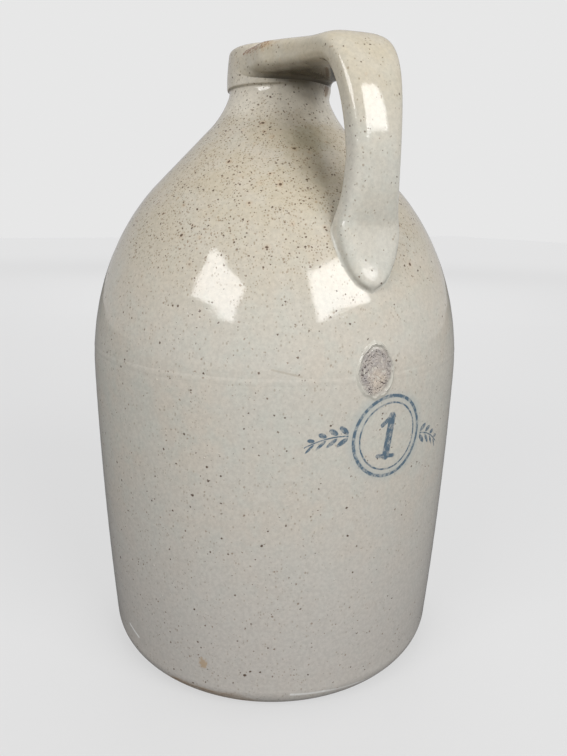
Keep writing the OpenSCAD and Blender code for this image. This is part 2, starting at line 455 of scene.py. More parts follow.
class NodeGroup(Graph):
    """A node group with named inputs and outputs."""

    def __init__(self, name: str, kind: str, takes: dict[str, tuple], gives: dict[str, str]) -> None:
        """Makes the group and its sockets.

        Args:
            name: Name of the group.
            kind: Type of its tree.
            takes: Socket type and default value of each input.
            gives: Socket type of each output.
        """
        super().__init__(bpy.data.node_groups.new(name, kind))
        for title, (socket, value) in takes.items():
            made = self.tree.interface.new_socket(title, in_out="INPUT", socket_type=socket)
            if value is not None:
                made.default_value = value
        for title, socket in gives.items():
            self.tree.interface.new_socket(title, in_out="OUTPUT", socket_type=socket)
        self.takes = self.tree.nodes.new("NodeGroupInput").outputs
        self.gives = self.tree.nodes.new("NodeGroupOutput").inputs

    def give(self, name: str, value: Socket) -> None:
        """Links an output of the group."""
        self.tree.links.new(value, self.gives[name])

    def dressed(self, geometry: Socket) -> Socket:
        """Returns geometry with the group's Material on it."""
        feeds = {"Geometry": geometry, "Material": self.takes["Material"]}
        return self.node("GeometryNodeSetMaterial", feeds).outputs[0]


class GlazeEffects:
    """Shader node groups that the finishes share, each built once."""

    def __init__(self) -> None:
        """Builds the groups."""
        self.specks = self._specks()
        self.place = self._place()
        self.blot = self._blot()
        self.stroke = self._stroke()
        self.peel = self._peel()

    @staticmethod
    def _specks() -> bpy.types.NodeTree:
        """Builds the group that scatters round specks of iron through the glaze.

        Returns:
            The group.
        """
        g = NodeGroup("Iron specks", "ShaderNodeTree",
                      {"Vector": (VECTOR, None), "Spacing": (FLOAT, 0.003), "Radius": (FLOAT, 0.0004),
                       "Chance": (FLOAT, 0.5), "Softness": (FLOAT, 0.5)},
                      {"Mask": FLOAT, "Tone": FLOAT})
        per_metre = g.over(1.0, g.takes["Spacing"])
        cells = g.node("ShaderNodeTexVoronoi", {"Vector": g.takes["Vector"], "Scale": per_metre})
        chance, size, tone = g.parts(cells.outputs["Color"])
        there = g.math("LESS_THAN", chance, g.takes["Chance"])
        growth = g.math("MULTIPLY_ADD", g.times(size, size), 1.05, 0.42)
        radius = g.times(g.takes["Radius"], growth)
        away = g.times(cells.outputs["Distance"], g.takes["Spacing"])
        core = g.times(radius, g.minus(1.0, g.takes["Softness"]))
        g.give("Mask", g.times(there, g.ramp(away, core, radius, 1.0, 0.0)))
        g.give("Tone", tone)
        return g.tree

    @staticmethod
    def _place() -> bpy.types.NodeTree:
        """Builds the group that gives flat coordinates round a place on the jug, and an oval mask there.

        Returns:
            The group.
        """
        g = NodeGroup("Place on the wall", "ShaderNodeTree",
                      {"Vector": (VECTOR, None), "Angle": (FLOAT, 0.0), "Height": (FLOAT, 0.1),
                       "Radius": (FLOAT, 0.089), "Turn": (FLOAT, 0.0), "Half Width": (FLOAT, 0.004),
                       "Half Height": (FLOAT, 0.004), "Softness": (FLOAT, 0.3), "Raggedness": (FLOAT, 0.0),
                       "Ragged Scale": (FLOAT, 500.0)},
                      {"Flat": VECTOR, "Mask": FLOAT})
        x, y, z = g.parts(g.takes["Vector"])
        turn = g.minus(g.math("ARCTAN2", y, x), g.takes["Angle"])
        across = g.times(turn, g.takes["Radius"])
        flat = g.joined(across, g.minus(z, g.takes["Height"]), 0.0)
        turned = g.node("ShaderNodeVectorRotate", {"Vector": flat, "Angle": g.takes["Turn"]},
                        rotation_type="Z_AXIS").outputs[0]
        u, v, _ = g.parts(turned)
        across = g.over(u, g.takes["Half Width"])
        oval = g.joined(across, g.over(v, g.takes["Half Height"]), 0.0)
        ragged = g.minus(g.noise(g.takes["Vector"], g.takes["Ragged Scale"], 3.0, 0.6), 0.5)
        away = g.math("MULTIPLY_ADD", ragged, g.takes["Raggedness"], g.vector("LENGTH", oval, out=1))
        core = g.minus(1.0, g.takes["Softness"])
        g.give("Flat", turned)
        g.give("Mask", g.ramp(away, core, 1.0, 1.0, 0.0))
        return g.tree

    @staticmethod
    def _blot() -> bpy.types.NodeTree:
        """Builds the group that masks a ragged blot round a point in space.

        Returns:
            The group.
        """
        g = NodeGroup("Blot", "ShaderNodeTree",
                      {"Vector": (VECTOR, None), "Centre": (VECTOR, (0.0, 0.0, 0.0)),
                       "Half Size": (VECTOR, (0.004, 0.004, 0.004)), "Softness": (FLOAT, 0.5),
                       "Raggedness": (FLOAT, 0.8), "Ragged Scale": (FLOAT, 420.0)},
                      {"Mask": FLOAT})
        offset = g.vector("SUBTRACT", g.takes["Vector"], g.takes["Centre"])
        offset = g.vector("DIVIDE", offset, g.takes["Half Size"])
        ragged = g.minus(g.noise(g.takes["Vector"], g.takes["Ragged Scale"], 4.0, 0.65), 0.5)
        away = g.math("MULTIPLY_ADD", ragged, g.takes["Raggedness"], g.vector("LENGTH", offset, out=1))
        g.give("Mask", g.ramp(away, g.minus(1.0, g.takes["Softness"]), 1.0, 1.0, 0.0))
        return g.tree

    @staticmethod
    def _stroke() -> bpy.types.NodeTree:
        """Builds the group that draws one stroke between two points, on a flat place or in space.

        Returns:
            The group.
        """
        g = NodeGroup("Stroke", "ShaderNodeTree",
                      {"Flat": (VECTOR, None), "Start": (VECTOR, (0.0, 0.0, 0.0)),
                       "End": (VECTOR, (0.0, 0.01, 0.0)), "Half Width": (FLOAT, 0.001),
                       "Softness": (FLOAT, 0.3)},
                      {"Mask": FLOAT})
        along = g.vector("SUBTRACT", g.takes["End"], g.takes["Start"])
        to_point = g.vector("SUBTRACT", g.takes["Flat"], g.takes["Start"])
        dot = g.vector("DOT_PRODUCT", to_point, along, out=1)
        share = g.math("DIVIDE", dot, g.vector("DOT_PRODUCT", along, along, out=1), clamp=True)
        away = g.vector("LENGTH", g.vector("SUBTRACT", to_point, g.scaled(along, share)), out=1)
        core = g.times(g.takes["Half Width"], g.minus(1.0, g.takes["Softness"]))
        g.give("Mask", g.ramp(away, core, g.takes["Half Width"], 1.0, 0.0))
        return g.tree

    @staticmethod
    def _peel() -> bpy.types.NodeTree:
        """Builds the group for the fine waves and pinholes of a salt-white glaze, as a height in metres.

        Returns:
            The group.
        """
        g = NodeGroup("Orange peel", "ShaderNodeTree",
                      {"Vector": (VECTOR, None), "Wave": (FLOAT, 0.000010), "Grain": (FLOAT, 0.000017),
                       "Pinhole": (FLOAT, 0.00004)},
                      {"Height": FLOAT})
        wave = g.times(g.noise(g.takes["Vector"], 190.0, 2.0, 0.45), g.takes["Wave"])
        grain = g.times(g.noise(g.takes["Vector"], 860.0, 3.0, 0.6), g.takes["Grain"])
        holes = g.node("ShaderNodeTexVoronoi", {"Vector": g.takes["Vector"], "Scale": 240.0})
        hollow = g.ramp(holes.outputs["Distance"], 0.03, 0.12, -1.0, 0.0)
        deep = g.times(hollow, g.takes["Pinhole"])
        g.give("Height", g.plus(g.plus(wave, grain), deep))
        return g.tree


class Surface(Graph):
    """The graph of a new material, with its shader, its object coordinates and the shared effects at hand."""

    def __init__(self, name: str, effects: GlazeEffects | None = None) -> None:
        """Starts the material.

        Args:
            name: Its name.
            effects: The shared node groups, where it uses them.
        """
        self.material = bpy.data.materials.new(name)
        self.material.use_nodes = True
        super().__init__(self.material.node_tree)
        self.effects = effects
        self.shader = self.tree.nodes["Principled BSDF"]
        self.place = self.node("ShaderNodeTexCoord").outputs["Object"]
        self.x, self.y, self.z = self.parts(self.place)

    def rise(self, at: Socket, span: Pair, start: Feed = 0.0, end: Feed = 1.0) -> Socket:
        """Returns a smooth step between two places in millimetres."""
        return self.ramp(at, span[0] * MM, span[1] * MM, start, end)

    def finish(self, colour: Socket, roughness: Socket, height: Socket) -> bpy.types.Material:
        """Feeds the shader.

        Args:
            colour: Its base colour.
            roughness: Its roughness.
            height: Its relief in metres.

        Returns:
            The material.
        """
        self.feed(self.shader.inputs["Base Color"], colour)
        self.feed(self.shader.inputs["Roughness"], roughness)
        bump = self.node("ShaderNodeBump", {"Height": height, "Strength": 1.0, "Distance": 1.0})
        self.feed(self.shader.inputs["Normal"], bump.outputs[0])
        return self.material


@dataclass(frozen=True)
class Cloud:
    """An uneven pattern: its noise, and the step that turns the noise into values from start to end.

    The offset, in metres, keeps patterns of one finish from lying over each other.
    """

    scale: float
    detail: float
    rough: float
    low: float
    high: float
    start: float = 0.0
    end: float = 1.0
    offset: tuple[float, float, float] | None = None

    def grain(self, g: Surface, place: Socket | None = None) -> Socket:
        """Works out the noise alone.

        Args:
            g: The surface.
            place: Its coordinates, where they aren't the object's own.

        Returns:
            The noise.
        """
        at = g.place if place is None else place
        if self.offset is not None:
            at = g.vector("ADD", at, self.offset)
        return g.noise(at, self.scale, self.detail, self.rough)

    def step(self, g: Surface, grain: Socket) -> Socket:
        """Returns the step of a noise."""
        return g.ramp(grain, self.low, self.high, self.start, self.end)

    def on(self, g: Surface, place: Socket | None = None) -> Socket:
        """Returns the whole pattern."""
        return self.step(g, self.grain(g, place))


@dataclass(frozen=True)
class CapacityMark:
    """A one-gallon capacity mark in cobalt: a numeral in a double ring, with a plain sprig on either side.

    Sizes are in millimetres and angles in degrees. Shares are shares of a leaf's or half the numeral's size.
    """

    angle: float = 3.2
    z: float = 129.0
    tilt: float = 8.0
    ring: float = 17.0
    ring_line: float = 0.8
    inner_ring: float = 14.2
    inner_line: float = 0.42
    numeral_half: float = 8.4
    stem_half: float = 2.1
    flag_shares: tuple[Pair, Pair] = ((-0.52, 0.55), (-0.06, 0.98))
    foot_share: float = 0.5
    sprig_start: float = 19.5
    sprig_sag: float = 0.02
    sprig_line: float = 0.42
    leaf_pitch: float = 4.3
    leaf_count: int = 4
    leaf_length: float = 2.9
    leaf_width: float = 1.15
    leaf_lean: float = 38.0
    leaf_shrink: float = 0.11
    leaf_offset_share: float = 0.85
    half_width: float = 40.0
    half_height: float = 22.0
    line_waver: float = 0.35
    halo_reach: float = 5.0
    halo_strength: float = 0.42
    ink_strength: float = 0.9
    wear: Cloud = Cloud(420.0, 4.0, 0.65, 0.34, 0.56, 0.35, 1.0)
    ink: Colour = (0.055, 0.115, 0.175)
    bleed: Colour = (0.40, 0.455, 0.45)

    def paint(self, g: Surface, ground: Socket, radius: float) -> Socket:
        """Paints the mark over a ground colour.

        Args:
            g: The surface.
            ground: Colour of the glaze under the mark.
            radius: Radius of the wall at the mark.

        Returns:
            The colour with the mark on it.
        """
        place = g.group(g.effects.place, {
            "Vector": g.place, "Angle": math.radians(self.angle), "Height": self.z * MM,
            "Radius": radius * MM, "Turn": math.radians(self.tilt), "Half Width": self.half_width * MM,
            "Half Height": self.half_height * MM})
        rough = g.minus(g.noise(g.place, 900.0, 2.0, 0.6), 0.5)
        wavered = g.scaled(g.joined(rough, rough, 0.0), self.line_waver * MM)
        flat = g.vector("ADD", place.outputs["Flat"], wavered)
        x, y, _ = g.parts(flat)
        away = g.vector("LENGTH", flat, out=1)
        masks = [
            self._line(g, g.minus(away, self.ring * MM), self.ring_line),
            self._line(g, g.minus(away, self.inner_ring * MM), self.inner_line),
            self._leaves(g, x, y),
        ]
        for start, end, half in self._strokes():
            feeds = {"Flat": flat, "Start": start, "End": end, "Half Width": half * MM}
            masks.append(g.group(g.effects.stroke, feeds).outputs["Mask"])
        drawn = reduce(g.larger, masks)
        worn = self.wear.on(g)
        off_ring = g.math("ABSOLUTE", g.minus(away, self.ring * MM))
        halo = g.ramp(off_ring, 0.0, self.halo_reach * MM, self.halo_strength, 0.0)
        stained = g.blend(g.times(halo, place.outputs["Mask"]), ground, self.bleed)
        front = g.math("GREATER_THAN", g.x, 0.0)
        return g.blend(g.times(drawn, worn, front, self.ink_strength), stained, self.ink)

    @staticmethod
    def _line(g: Surface, offset: Socket, half: float) -> Socket:
        """Returns the mask of a line where offset is nought; half its width is in millimetres."""
        return g.ramp(g.math("ABSOLUTE", offset), half * 0.6 * MM, half * 1.2 * MM, 1.0, 0.0)

    def _strokes(self) -> list[tuple[tuple, tuple, float]]:
        """Lists the numeral's strokes: its stem, its flag and its foot.

        Returns:
            The start, the end and half the width of each.
        """
        tall = self.numeral_half * MM
        foot = self.foot_share * tall
        flag_start, flag_end = ((across * tall, up * tall, 0.0) for across, up in self.flag_shares)
        return [
            ((0.0, -tall, 0.0), (0.0, tall, 0.0), self.stem_half),
            (flag_start, flag_end, self.stem_half * 0.55),
            ((-foot, -tall, 0.0), (foot, -tall, 0.0), self.stem_half * 0.5),
        ]

    def _leaves(self, g: Surface, x: Socket, y: Socket) -> Socket:
        """Draws the two sprigs, each a stem with pairs of leaves that grow smaller outward.

        Args:
            g: The surface.
            x: Place across the mark in metres.
            y: Place up the mark in metres.

        Returns:
            The mask of both sprigs.
        """
        out = g.over(g.minus(g.math("ABSOLUTE", x), self.sprig_start * MM), MM)
        up = g.plus(g.over(y, MM), g.times(out, out, self.sprig_sag))
        cell = g.over(out, self.leaf_pitch)
        number = g.math("FLOOR", cell)
        inside = g.times(g.math("GREATER_THAN", number, -0.5),
                         g.math("LESS_THAN", number, self.leaf_count - 0.5))
        shrink = g.math("MULTIPLY_ADD", number, -self.leaf_shrink, 1.0)
        along = g.times(g.minus(g.math("FRACT", cell), 0.5), self.leaf_pitch)
        middle = g.times(shrink, self.leaf_offset_share * self.leaf_length)
        above = g.minus(g.math("ABSOLUTE", up), middle)
        cos, sin = math.cos(math.radians(self.leaf_lean)), math.sin(math.radians(self.leaf_lean))
        length = g.plus(g.times(along, cos), g.times(above, sin))
        width = g.minus(g.times(above, cos), g.times(along, sin))
        oval = g.joined(g.over(length, g.times(shrink, self.leaf_length)),
                        g.over(width, g.times(shrink, self.leaf_width)), 0.0)
        leaf = g.ramp(g.vector("LENGTH", oval, out=1), 0.75, 1.1, 1.0, 0.0)
        stem = g.ramp(g.math("ABSOLUTE", up), 0.2, self.sprig_line, 1.0, 0.0)
        return g.times(g.larger(leaf, stem), inside)


@dataclass(frozen=True)
class Stain:
    """A ragged coloured blot, with its middle and its half sizes in millimetres."""

    centre: tuple[float, float, float]
    half: tuple[float, float, float]
    colour: Colour
    strength: float
    softness: float
    ragged: float
    ragged_scale: float

    def lay(self, g: Surface, ground: Socket) -> Socket:
        """Lays the blot over a ground colour.

        Args:
            g: The surface.
            ground: The colour under it.

        Returns:
            The colour with the blot on it.
        """
        blot = g.group(g.effects.blot, {
            "Vector": g.place, "Centre": tuple(MM * c for c in self.centre),
            "Half Size": tuple(MM * c for c in self.half), "Softness": self.softness,
            "Raggedness": self.ragged, "Ragged Scale": self.ragged_scale})
        return g.blend(g.times(blot.outputs["Mask"], self.strength), ground, self.colour)


@dataclass(frozen=True)
class Streak:
    """A thin line on the wall. Each end is an angle in degrees and a height, and half is half its width."""

    start: Pair
    end: Pair
    half: float
    colour: Colour
    strength: float
    softness: float = 0.7

    def lay(self, g: Surface, ground: Socket, form: JugForm) -> Socket:
        """Lays the line over a ground colour.

        Args:
            g: The surface.
            ground: The colour under it.
            form: The jug's sizes.

        Returns:
            The colour with the line on it.
        """
        line = g.group(g.effects.stroke, {
            "Flat": g.place, "Start": tuple(form.on_wall(*self.start)), "End": tuple(form.on_wall(*self.end)),
            "Half Width": self.half * MM, "Softness": self.softness})
        return g.blend(g.times(line.outputs["Mask"], self.strength), ground, self.colour)


@dataclass(frozen=True)
class SpeckLayer:
    """One size of specks, in millimetres, and how far up the tanned shoulder they begin to crowd."""

    spacing: float
    radius: float
    softness: float
    crowds_from: float
    crowds_to: float = 0.95

    def scatter(self, g: Surface, place: Socket, high: Socket, busy: Socket, chance: Pair) -> bpy.types.Node:
        """Scatters the specks.

        Args:
            g: The surface.
            place: Coordinates that lay out the specks.
            high: How far up the shoulder a point is, from 0 to 1.
            busy: How crowded the specks are there.
            chance: Chance of a speck on the plain glaze and on the tanned one.

        Returns:
            The node with the layer's mask and tone.
        """
        crowding = g.ramp(high, self.crowds_from, self.crowds_to, *chance)
        return g.group(g.effects.specks, {
            "Vector": place, "Spacing": self.spacing * MM, "Radius": self.radius * MM,
            "Softness": self.softness, "Chance": g.times(busy, crowding)})


@dataclass(frozen=True)
class BareFoot:
    """The bare clay: the underside, and a ragged edge that the glaze left along one side of the foot.

    Heights are in millimetres. The side is an angle in degrees, and the edge fades over angles in radians.
    """

    side: float = -48.0
    fade: Pair = (0.16, 0.42)
    height: float = 7.4
    ragged: float = 4.2
    drop: float = 0.4
    edge: Pair = (-1.6, 1.4)
    solid: Pair = (1.5, 4.0)
    smear: Cloud = Cloud(85.0, 4.0, 0.65, 0.38, 0.62, 0.35, 1.0)
    smear_stretch: tuple[float, float, float] = (1.0, 1.0, 7.0)

    def mask(self, g: Surface) -> Socket:
        """Works out where the clay is bare.

        Args:
            g: The surface.

        Returns:
            The mask.
        """
        turn = g.math("ARCTAN2", g.y, g.x)
        aside = g.math("ABSOLUTE", g.minus(turn, math.radians(self.side)))
        side = g.ramp(aside, *self.fade, self.height * MM, 0.0)
        ragged = g.times(g.noise(g.place, 70.0, 4.0, 0.6), self.ragged * MM)
        edge = g.plus(g.plus(side, ragged), -self.drop * MM)
        below = g.rise(g.minus(g.z, edge), self.edge, 1.0, 0.0)
        smeared = self.smear.on(g, g.vector("MULTIPLY", g.place, self.smear_stretch))
        return g.times(below, g.larger(smeared, g.rise(g.z, self.solid, 1.0, 0.0)))


@dataclass(frozen=True)
class Stoneware:
    """The glazed finish: a cream glaze over clay, tanned and speckled with iron towards the top.

    Heights are in millimetres. Each chance of a speck is given for the plain glaze and for the tanned one.
    A strength is the share of a colour over the one under it.
    """

    cream: Colour = (0.590, 0.562, 0.495)
    warm: Colour = (0.615, 0.555, 0.468)
    cool: Colour = (0.560, 0.566, 0.505)
    low: Colour = (0.535, 0.505, 0.470)
    tan: Colour = (0.530, 0.461, 0.338)
    pepper: Colour = (0.27, 0.205, 0.13)
    brown: Colour = (0.21, 0.125, 0.062)
    iron: Colour = (0.080, 0.045, 0.026)
    rust: Colour = (0.50, 0.33, 0.19)
    pooled: Colour = (0.70, 0.65, 0.55)
    clay: Colour = (0.40, 0.285, 0.185)
    warm_cloud: Cloud = Cloud(34.0, 3.0, 0.5, 0.38, 0.64, 0.0, 0.6)
    cool_cloud: Cloud = Cloud(120.0, 3.0, 0.55, 0.42, 0.70, 0.0, 0.5, (0.7, 0.2, 0.5))
    tan_cloud: Cloud = Cloud(62.0, 4.0, 0.62, 0.32, 0.62, 0.55, 1.0, (0.1, 0.9, 0.3))
    mottle: Cloud = Cloud(620.0, 3.0, 0.7, 0.30, 0.70, 0.92, 1.05, (0.4, 0.4, 0.8))
    low_span: Pair = (20.0, 140.0)
    low_strength: float = 0.7
    tan_span: Pair = (152.0, 236.0)
    tan_strength: float = 0.88
    pooled_from: Pair = (250.0, 262.0)
    pooled_to: Pair = (268.0, 276.0)
    pooled_rest: float = 0.26
    pooled_ragged: float = 20.0
    pooled_strength: float = 0.88
    pooled_crowding: float = 0.32
    fine: SpeckLayer = SpeckLayer(1.0, 0.38, 0.6, 0.0)
    medium: SpeckLayer = SpeckLayer(1.2, 0.43, 0.4, 0.42)
    large: SpeckLayer = SpeckLayer(6.0, 0.66, 0.4, 0.15)
    halo: SpeckLayer = SpeckLayer(6.0, 1.8, 0.9, 0.15)
    fine_chance: Pair = (0.2, 1.1)
    medium_chance: Pair = (0.065, 1.05)
    large_chance: Pair = (0.14, 0.62)
    fine_strength: Pair = (0.42, 0.62)
    medium_strength: Pair = (0.92, 0.4)
    large_strength: float = 0.9
    halo_strength: float = 0.4
    crowds: Cloud = Cloud(80.0, 4.0, 0.65, 0.36, 0.60, 0.35, 1.9)
    speck_jitter: float = 0.8
    fire_across: Pair = (-75.0, 30.0)
    fire_crowding: Pair = (1.45, 0.6)
    pit_depth: float = 0.03
    pit_roughness: float = 0.16
    medium_pitting: float = 0.6
    grit_height: float = 0.25
    roughness: float = 0.06
    worn_roughness: float = 0.04
    clay_roughness: float = 0.75
    ior: float = 1.46
    foot: BareFoot = BareFoot()
    stains: tuple[Stain, ...] = ()
    streaks: tuple[Streak, ...] = ()
    mark: CapacityMark | None = None

    def build(self, name: str, effects: GlazeEffects, form: JugForm) -> bpy.types.Material:
        """Builds the material.

        Args:
            name: Name of the material.
            effects: The shared node groups.
            form: The jug's sizes.

        Returns:
            The material.
        """
        g = Surface(name, effects)
        high = g.rise(g.z, self.tan_span)
        colour, pits = self._speckled(g, self._ground(g, high), high)
        if self.mark is not None:
            colour = self.mark.paint(g, colour, form.belly_radius)
        for stain in self.stains:
            colour = stain.lay(g, colour)
        for streak in self.streaks:
            colour = streak.lay(g, colour, form)
        bare = self.foot.mask(g)
        grit = g.noise(g.place, 1300.0, 3.0, 0.7)
        clay = g.blend(grit, self.clay, tuple(0.55 * c for c in self.clay))
        dulled = self.roughness + self.worn_roughness
        worn = g.ramp(g.noise(g.place, 60.0, 3.0, 0.55), 0.35, 0.75, self.roughness, dulled)
        gloss = g.plus(worn, g.times(pits, self.pit_roughness))
        peel = g.group(effects.peel, {"Vector": g.place}).outputs["Height"]
        height = g.plus(peel, g.times(pits, -self.pit_depth * MM))
        height = g.plus(height, g.times(bare, grit, self.grit_height * MM))
        g.shader.inputs["IOR"].default_value = self.ior
        roughness = g.ramp(bare, 0.0, 1.0, gloss, self.clay_roughness)
        return g.finish(g.blend(bare, colour, clay), roughness, height)

    def _ground(self, g: Surface, high: Socket) -> Socket:
        """Mixes the glaze without its specks: cream, clouded warm and cool, tanned above.

        Args:
            g: The surface.
            high: How far up the shoulder a point is, from 0 to 1.

        Returns:
            Its colour.
        """
        patch = self.cool_cloud.grain(g)
        colour = g.blend(self.warm_cloud.on(g), self.cream, self.warm)
        colour = g.blend(self.cool_cloud.step(g, patch), colour, self.cool)
        colour = g.blend(g.rise(g.z, self.low_span, self.low_strength, 0.0), colour, self.low)
        colour = g.blend(g.times(high, self.tan_cloud.on(g), self.tan_strength), colour, self.tan)
        gather = g.math("MULTIPLY_ADD", g.minus(patch, 0.5), self.pooled_ragged * MM, g.z)
        begins = g.rise(gather, self.pooled_from)
        ends = g.rise(gather, self.pooled_to, 1.0, self.pooled_rest)
        colour = g.blend(g.times(begins, ends, self.pooled_strength), colour, self.pooled)
        shade = self.mottle.on(g)
        return g.blend(1.0, colour, g.joined(shade, shade, shade), kind="MULTIPLY")

    def _speckled(self, g: Surface, colour: Socket, high: Socket) -> tuple[Socket, Socket]:
        """Adds three sizes of specks.

        Args:
            g: The surface.
            colour: Colour of the glaze.
            high: How far up the shoulder a point is, from 0 to 1.

        Returns:
            The speckled colour, and the mask of the pits that the specks make.
        """
        grain = g.node("ShaderNodeTexNoise", {"Vector": g.place, "Scale": 1300.0, "Detail": 1.0})
        jitter = g.vector("SUBTRACT", grain.outputs["Color"], (0.5, 0.5, 0.5))
        ragged = g.vector("ADD", g.place, g.scaled(jitter, self.speck_jitter * MM))
        aside = g.vector("ADD", ragged, (0.31, 0.17, 0.05))
        pooled = g.rise(g.z, self.pooled_from, 1.0, self.pooled_crowding)
        busy = g.times(self.crowds.on(g), pooled, g.rise(g.y, self.fire_across, *self.fire_crowding))
        streaky = g.vector("MULTIPLY", g.place, (1.0, 1.0, 0.7))
        fine = self.fine.scatter(g, streaky, high, busy, self.fine_chance).outputs["Mask"]
        medium, tone = self.medium.scatter(g, ragged, high, busy, self.medium_chance).outputs[:2]
        large = self.large.scatter(g, aside, high, busy, self.large_chance).outputs["Mask"]
        halo = self.halo.scatter(g, aside, high, busy, self.large_chance).outputs["Mask"]
        colour = g.blend(g.times(halo, high, self.halo_strength), colour, self.rust)
        strength = g.ramp(high, 0.0, 0.8, *self.fine_strength)
        colour = g.blend(g.times(fine, strength), colour, self.pepper)
        speck = g.blend(g.ramp(tone, 0.15, 0.8), self.iron, self.brown)
        strength = g.ramp(tone, 0.0, 1.0, *self.medium_strength)
        colour = g.blend(g.times(medium, strength), colour, speck)
        colour = g.blend(g.times(large, self.large_strength), colour, self.iron)
        return colour, g.larger(large, g.times(medium, self.medium_pitting))


@dataclass(frozen=True)
class ScarredClay:
    """The finish of the kiln scar: dull, pitted glaze with burnt crumbs along its sides, in millimetres.

    The heart is its palest place, given in shares of the scar's half sizes.
    """

    pale: Colour = (0.58, 0.50, 0.41)
    dull: Colour = (0.38, 0.35, 0.33)
    burnt: Colour = (0.055, 0.038, 0.036)
    rim: Colour = (0.57, 0.55, 0.48)
    crumb_spacing: float = 0.55
    crumb_radius: float = 0.27
    rough_height: float = 0.30
    crumb_depth: float = 0.15
    roughness: Pair = (0.06, 0.40)
    cloud: Cloud = Cloud(420.0, 4.0, 0.7, 0.35, 0.65)
    heart_at: Pair = (0.12, -0.38)
    heart_strength: float = 0.65
    crumb_strength: float = 0.9

    def build(self, name: str, effects: GlazeEffects, scar: "KilnScar") -> bpy.types.Material:
        """Builds the material.

        Args:
            name: Name of the material.
            effects: The shared node groups.
            scar: The scar's place and size.

        Returns:
            The material.
        """
        g = Surface(name, effects)
        place = g.group(effects.place, {
            "Vector": g.place, "Angle": math.radians(scar.angle), "Height": scar.z * MM,
            "Radius": scar.form.on_wall(0.0, scar.z).x, "Half Width": scar.half_width * MM,
            "Half Height": scar.half_height * MM, "Softness": 0.35, "Raggedness": 0.5,
            "Ragged Scale": 300.0})
        u, v, _ = g.parts(place.outputs["Flat"])
        across, up = g.over(u, scar.half_width * MM), g.over(v, scar.half_height * MM)
        inner = place.outputs["Mask"]
        off_heart = g.joined(g.minus(across, self.heart_at[0]), g.minus(up, self.heart_at[1]), 0.0)
        heart = g.ramp(g.vector("LENGTH", off_heart, out=1), 0.15, 0.7, 1.0, 0.0)
        pale = g.math("MULTIPLY_ADD", self.cloud.on(g), 1 - self.heart_strength,
                      g.times(heart, self.heart_strength))
        colour = g.blend(pale, self.dull, self.pale)
        ring = g.ramp(g.vector("LENGTH", g.joined(across, up, 0.0), out=1), 0.30, 0.72, 0.08, 0.95)
        crumbs = g.group(effects.specks, {
            "Vector": g.place, "Spacing": self.crumb_spacing * MM, "Radius": self.crumb_radius * MM,
            "Chance": g.times(ring, inner, g.ramp(up, 0.45, 0.8, 1.0, 0.15)), "Softness": 0.35})
        colour = g.blend(g.times(crumbs.outputs["Mask"], self.crumb_strength), colour, self.burnt)
        rough = g.times(g.noise(g.place, 1300.0, 3.0, 0.65), inner, self.rough_height * MM)
        height = g.plus(rough, g.times(crumbs.outputs["Mask"], -self.crumb_depth * MM))
        return g.finish(g.blend(inner, self.rim, colour), g.ramp(inner, 0.0, 1.0, *self.roughness), height)


def object_from(name: str, vertices: np.ndarray, faces: list, material: bpy.types.Material | None = None,
                edges: list | None = None) -> bpy.types.Object:
    """Makes an object at the origin.

    Args:
        name: Name of the object and its mesh.
        vertices: One row for each vertex, in metres.
        faces: Vertex numbers of each face.
        material: Its material.
        edges: Vertex numbers of each loose edge.

    Returns:
        The object, linked to the scene.
    """
    mesh = bpy.data.meshes.new(name)
    mesh.from_pydata(np.asarray(vertices).tolist(), edges or [], faces)
    if material is not None:
        mesh.materials.append(material)
    made = bpy.data.objects.new(name, mesh)
    bpy.context.scene.collection.objects.link(made)
    return made


def finish_mesh(piece: bpy.types.Object, sharp: float = 32.0) -> None:
    """Merges doubles, turns the faces outward and shades them smooth.

    Args:
        piece: The piece.
        sharp: Angle in degrees over which an edge stays sharp.
    """
    work = bmesh.new()
    work.from_mesh(piece.data)
    bmesh.ops.remove_doubles(work, verts=work.verts, dist=1e-6)
    bmesh.ops.dissolve_degenerate(work, edges=work.edges, dist=1e-7)
    bmesh.ops.recalc_face_normals(work, faces=work.faces)
    work.to_mesh(piece.data)
    work.free()
    piece.data.shade_smooth()
    piece.data.set_sharp_from_angle(angle=math.radians(sharp))


def apply_tree(piece: bpy.types.Object, tree: bpy.types.NodeTree, values: dict) -> None:
    """Runs a Geometry Nodes tree on an object and keeps its result as a plain mesh.

    Args:
        piece: The object that holds the tree's input.
        tree: The tree.
        values: What its inputs get, by name.
    """
    modifier = piece.modifiers.new(tree.name, "NODES")
    modifier.node_group = tree
    for item in tree.interface.items_tree:
        if item.item_type == "SOCKET" and item.in_out == "INPUT" and item.name in values:
            modifier[item.identifier] = values[item.name]
    graph = bpy.context.evaluated_depsgraph_get()
    mesh = bpy.data.meshes.new_from_object(piece.evaluated_get(graph), depsgraph=graph)
    piece.modifiers.remove(modifier)
    piece.data = mesh


def seat(piece: bpy.types.Object, slot: Slot, *nodes: str) -> None:
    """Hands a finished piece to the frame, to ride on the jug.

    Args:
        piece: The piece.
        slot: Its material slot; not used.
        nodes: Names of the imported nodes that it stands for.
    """
    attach(piece, BODY)
    if nodes:
        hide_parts(*nodes)
    piece.data.calc_loop_triangles()
    LOG.info("%s: %d triangles", piece.name, len(piece.data.loop_triangles))


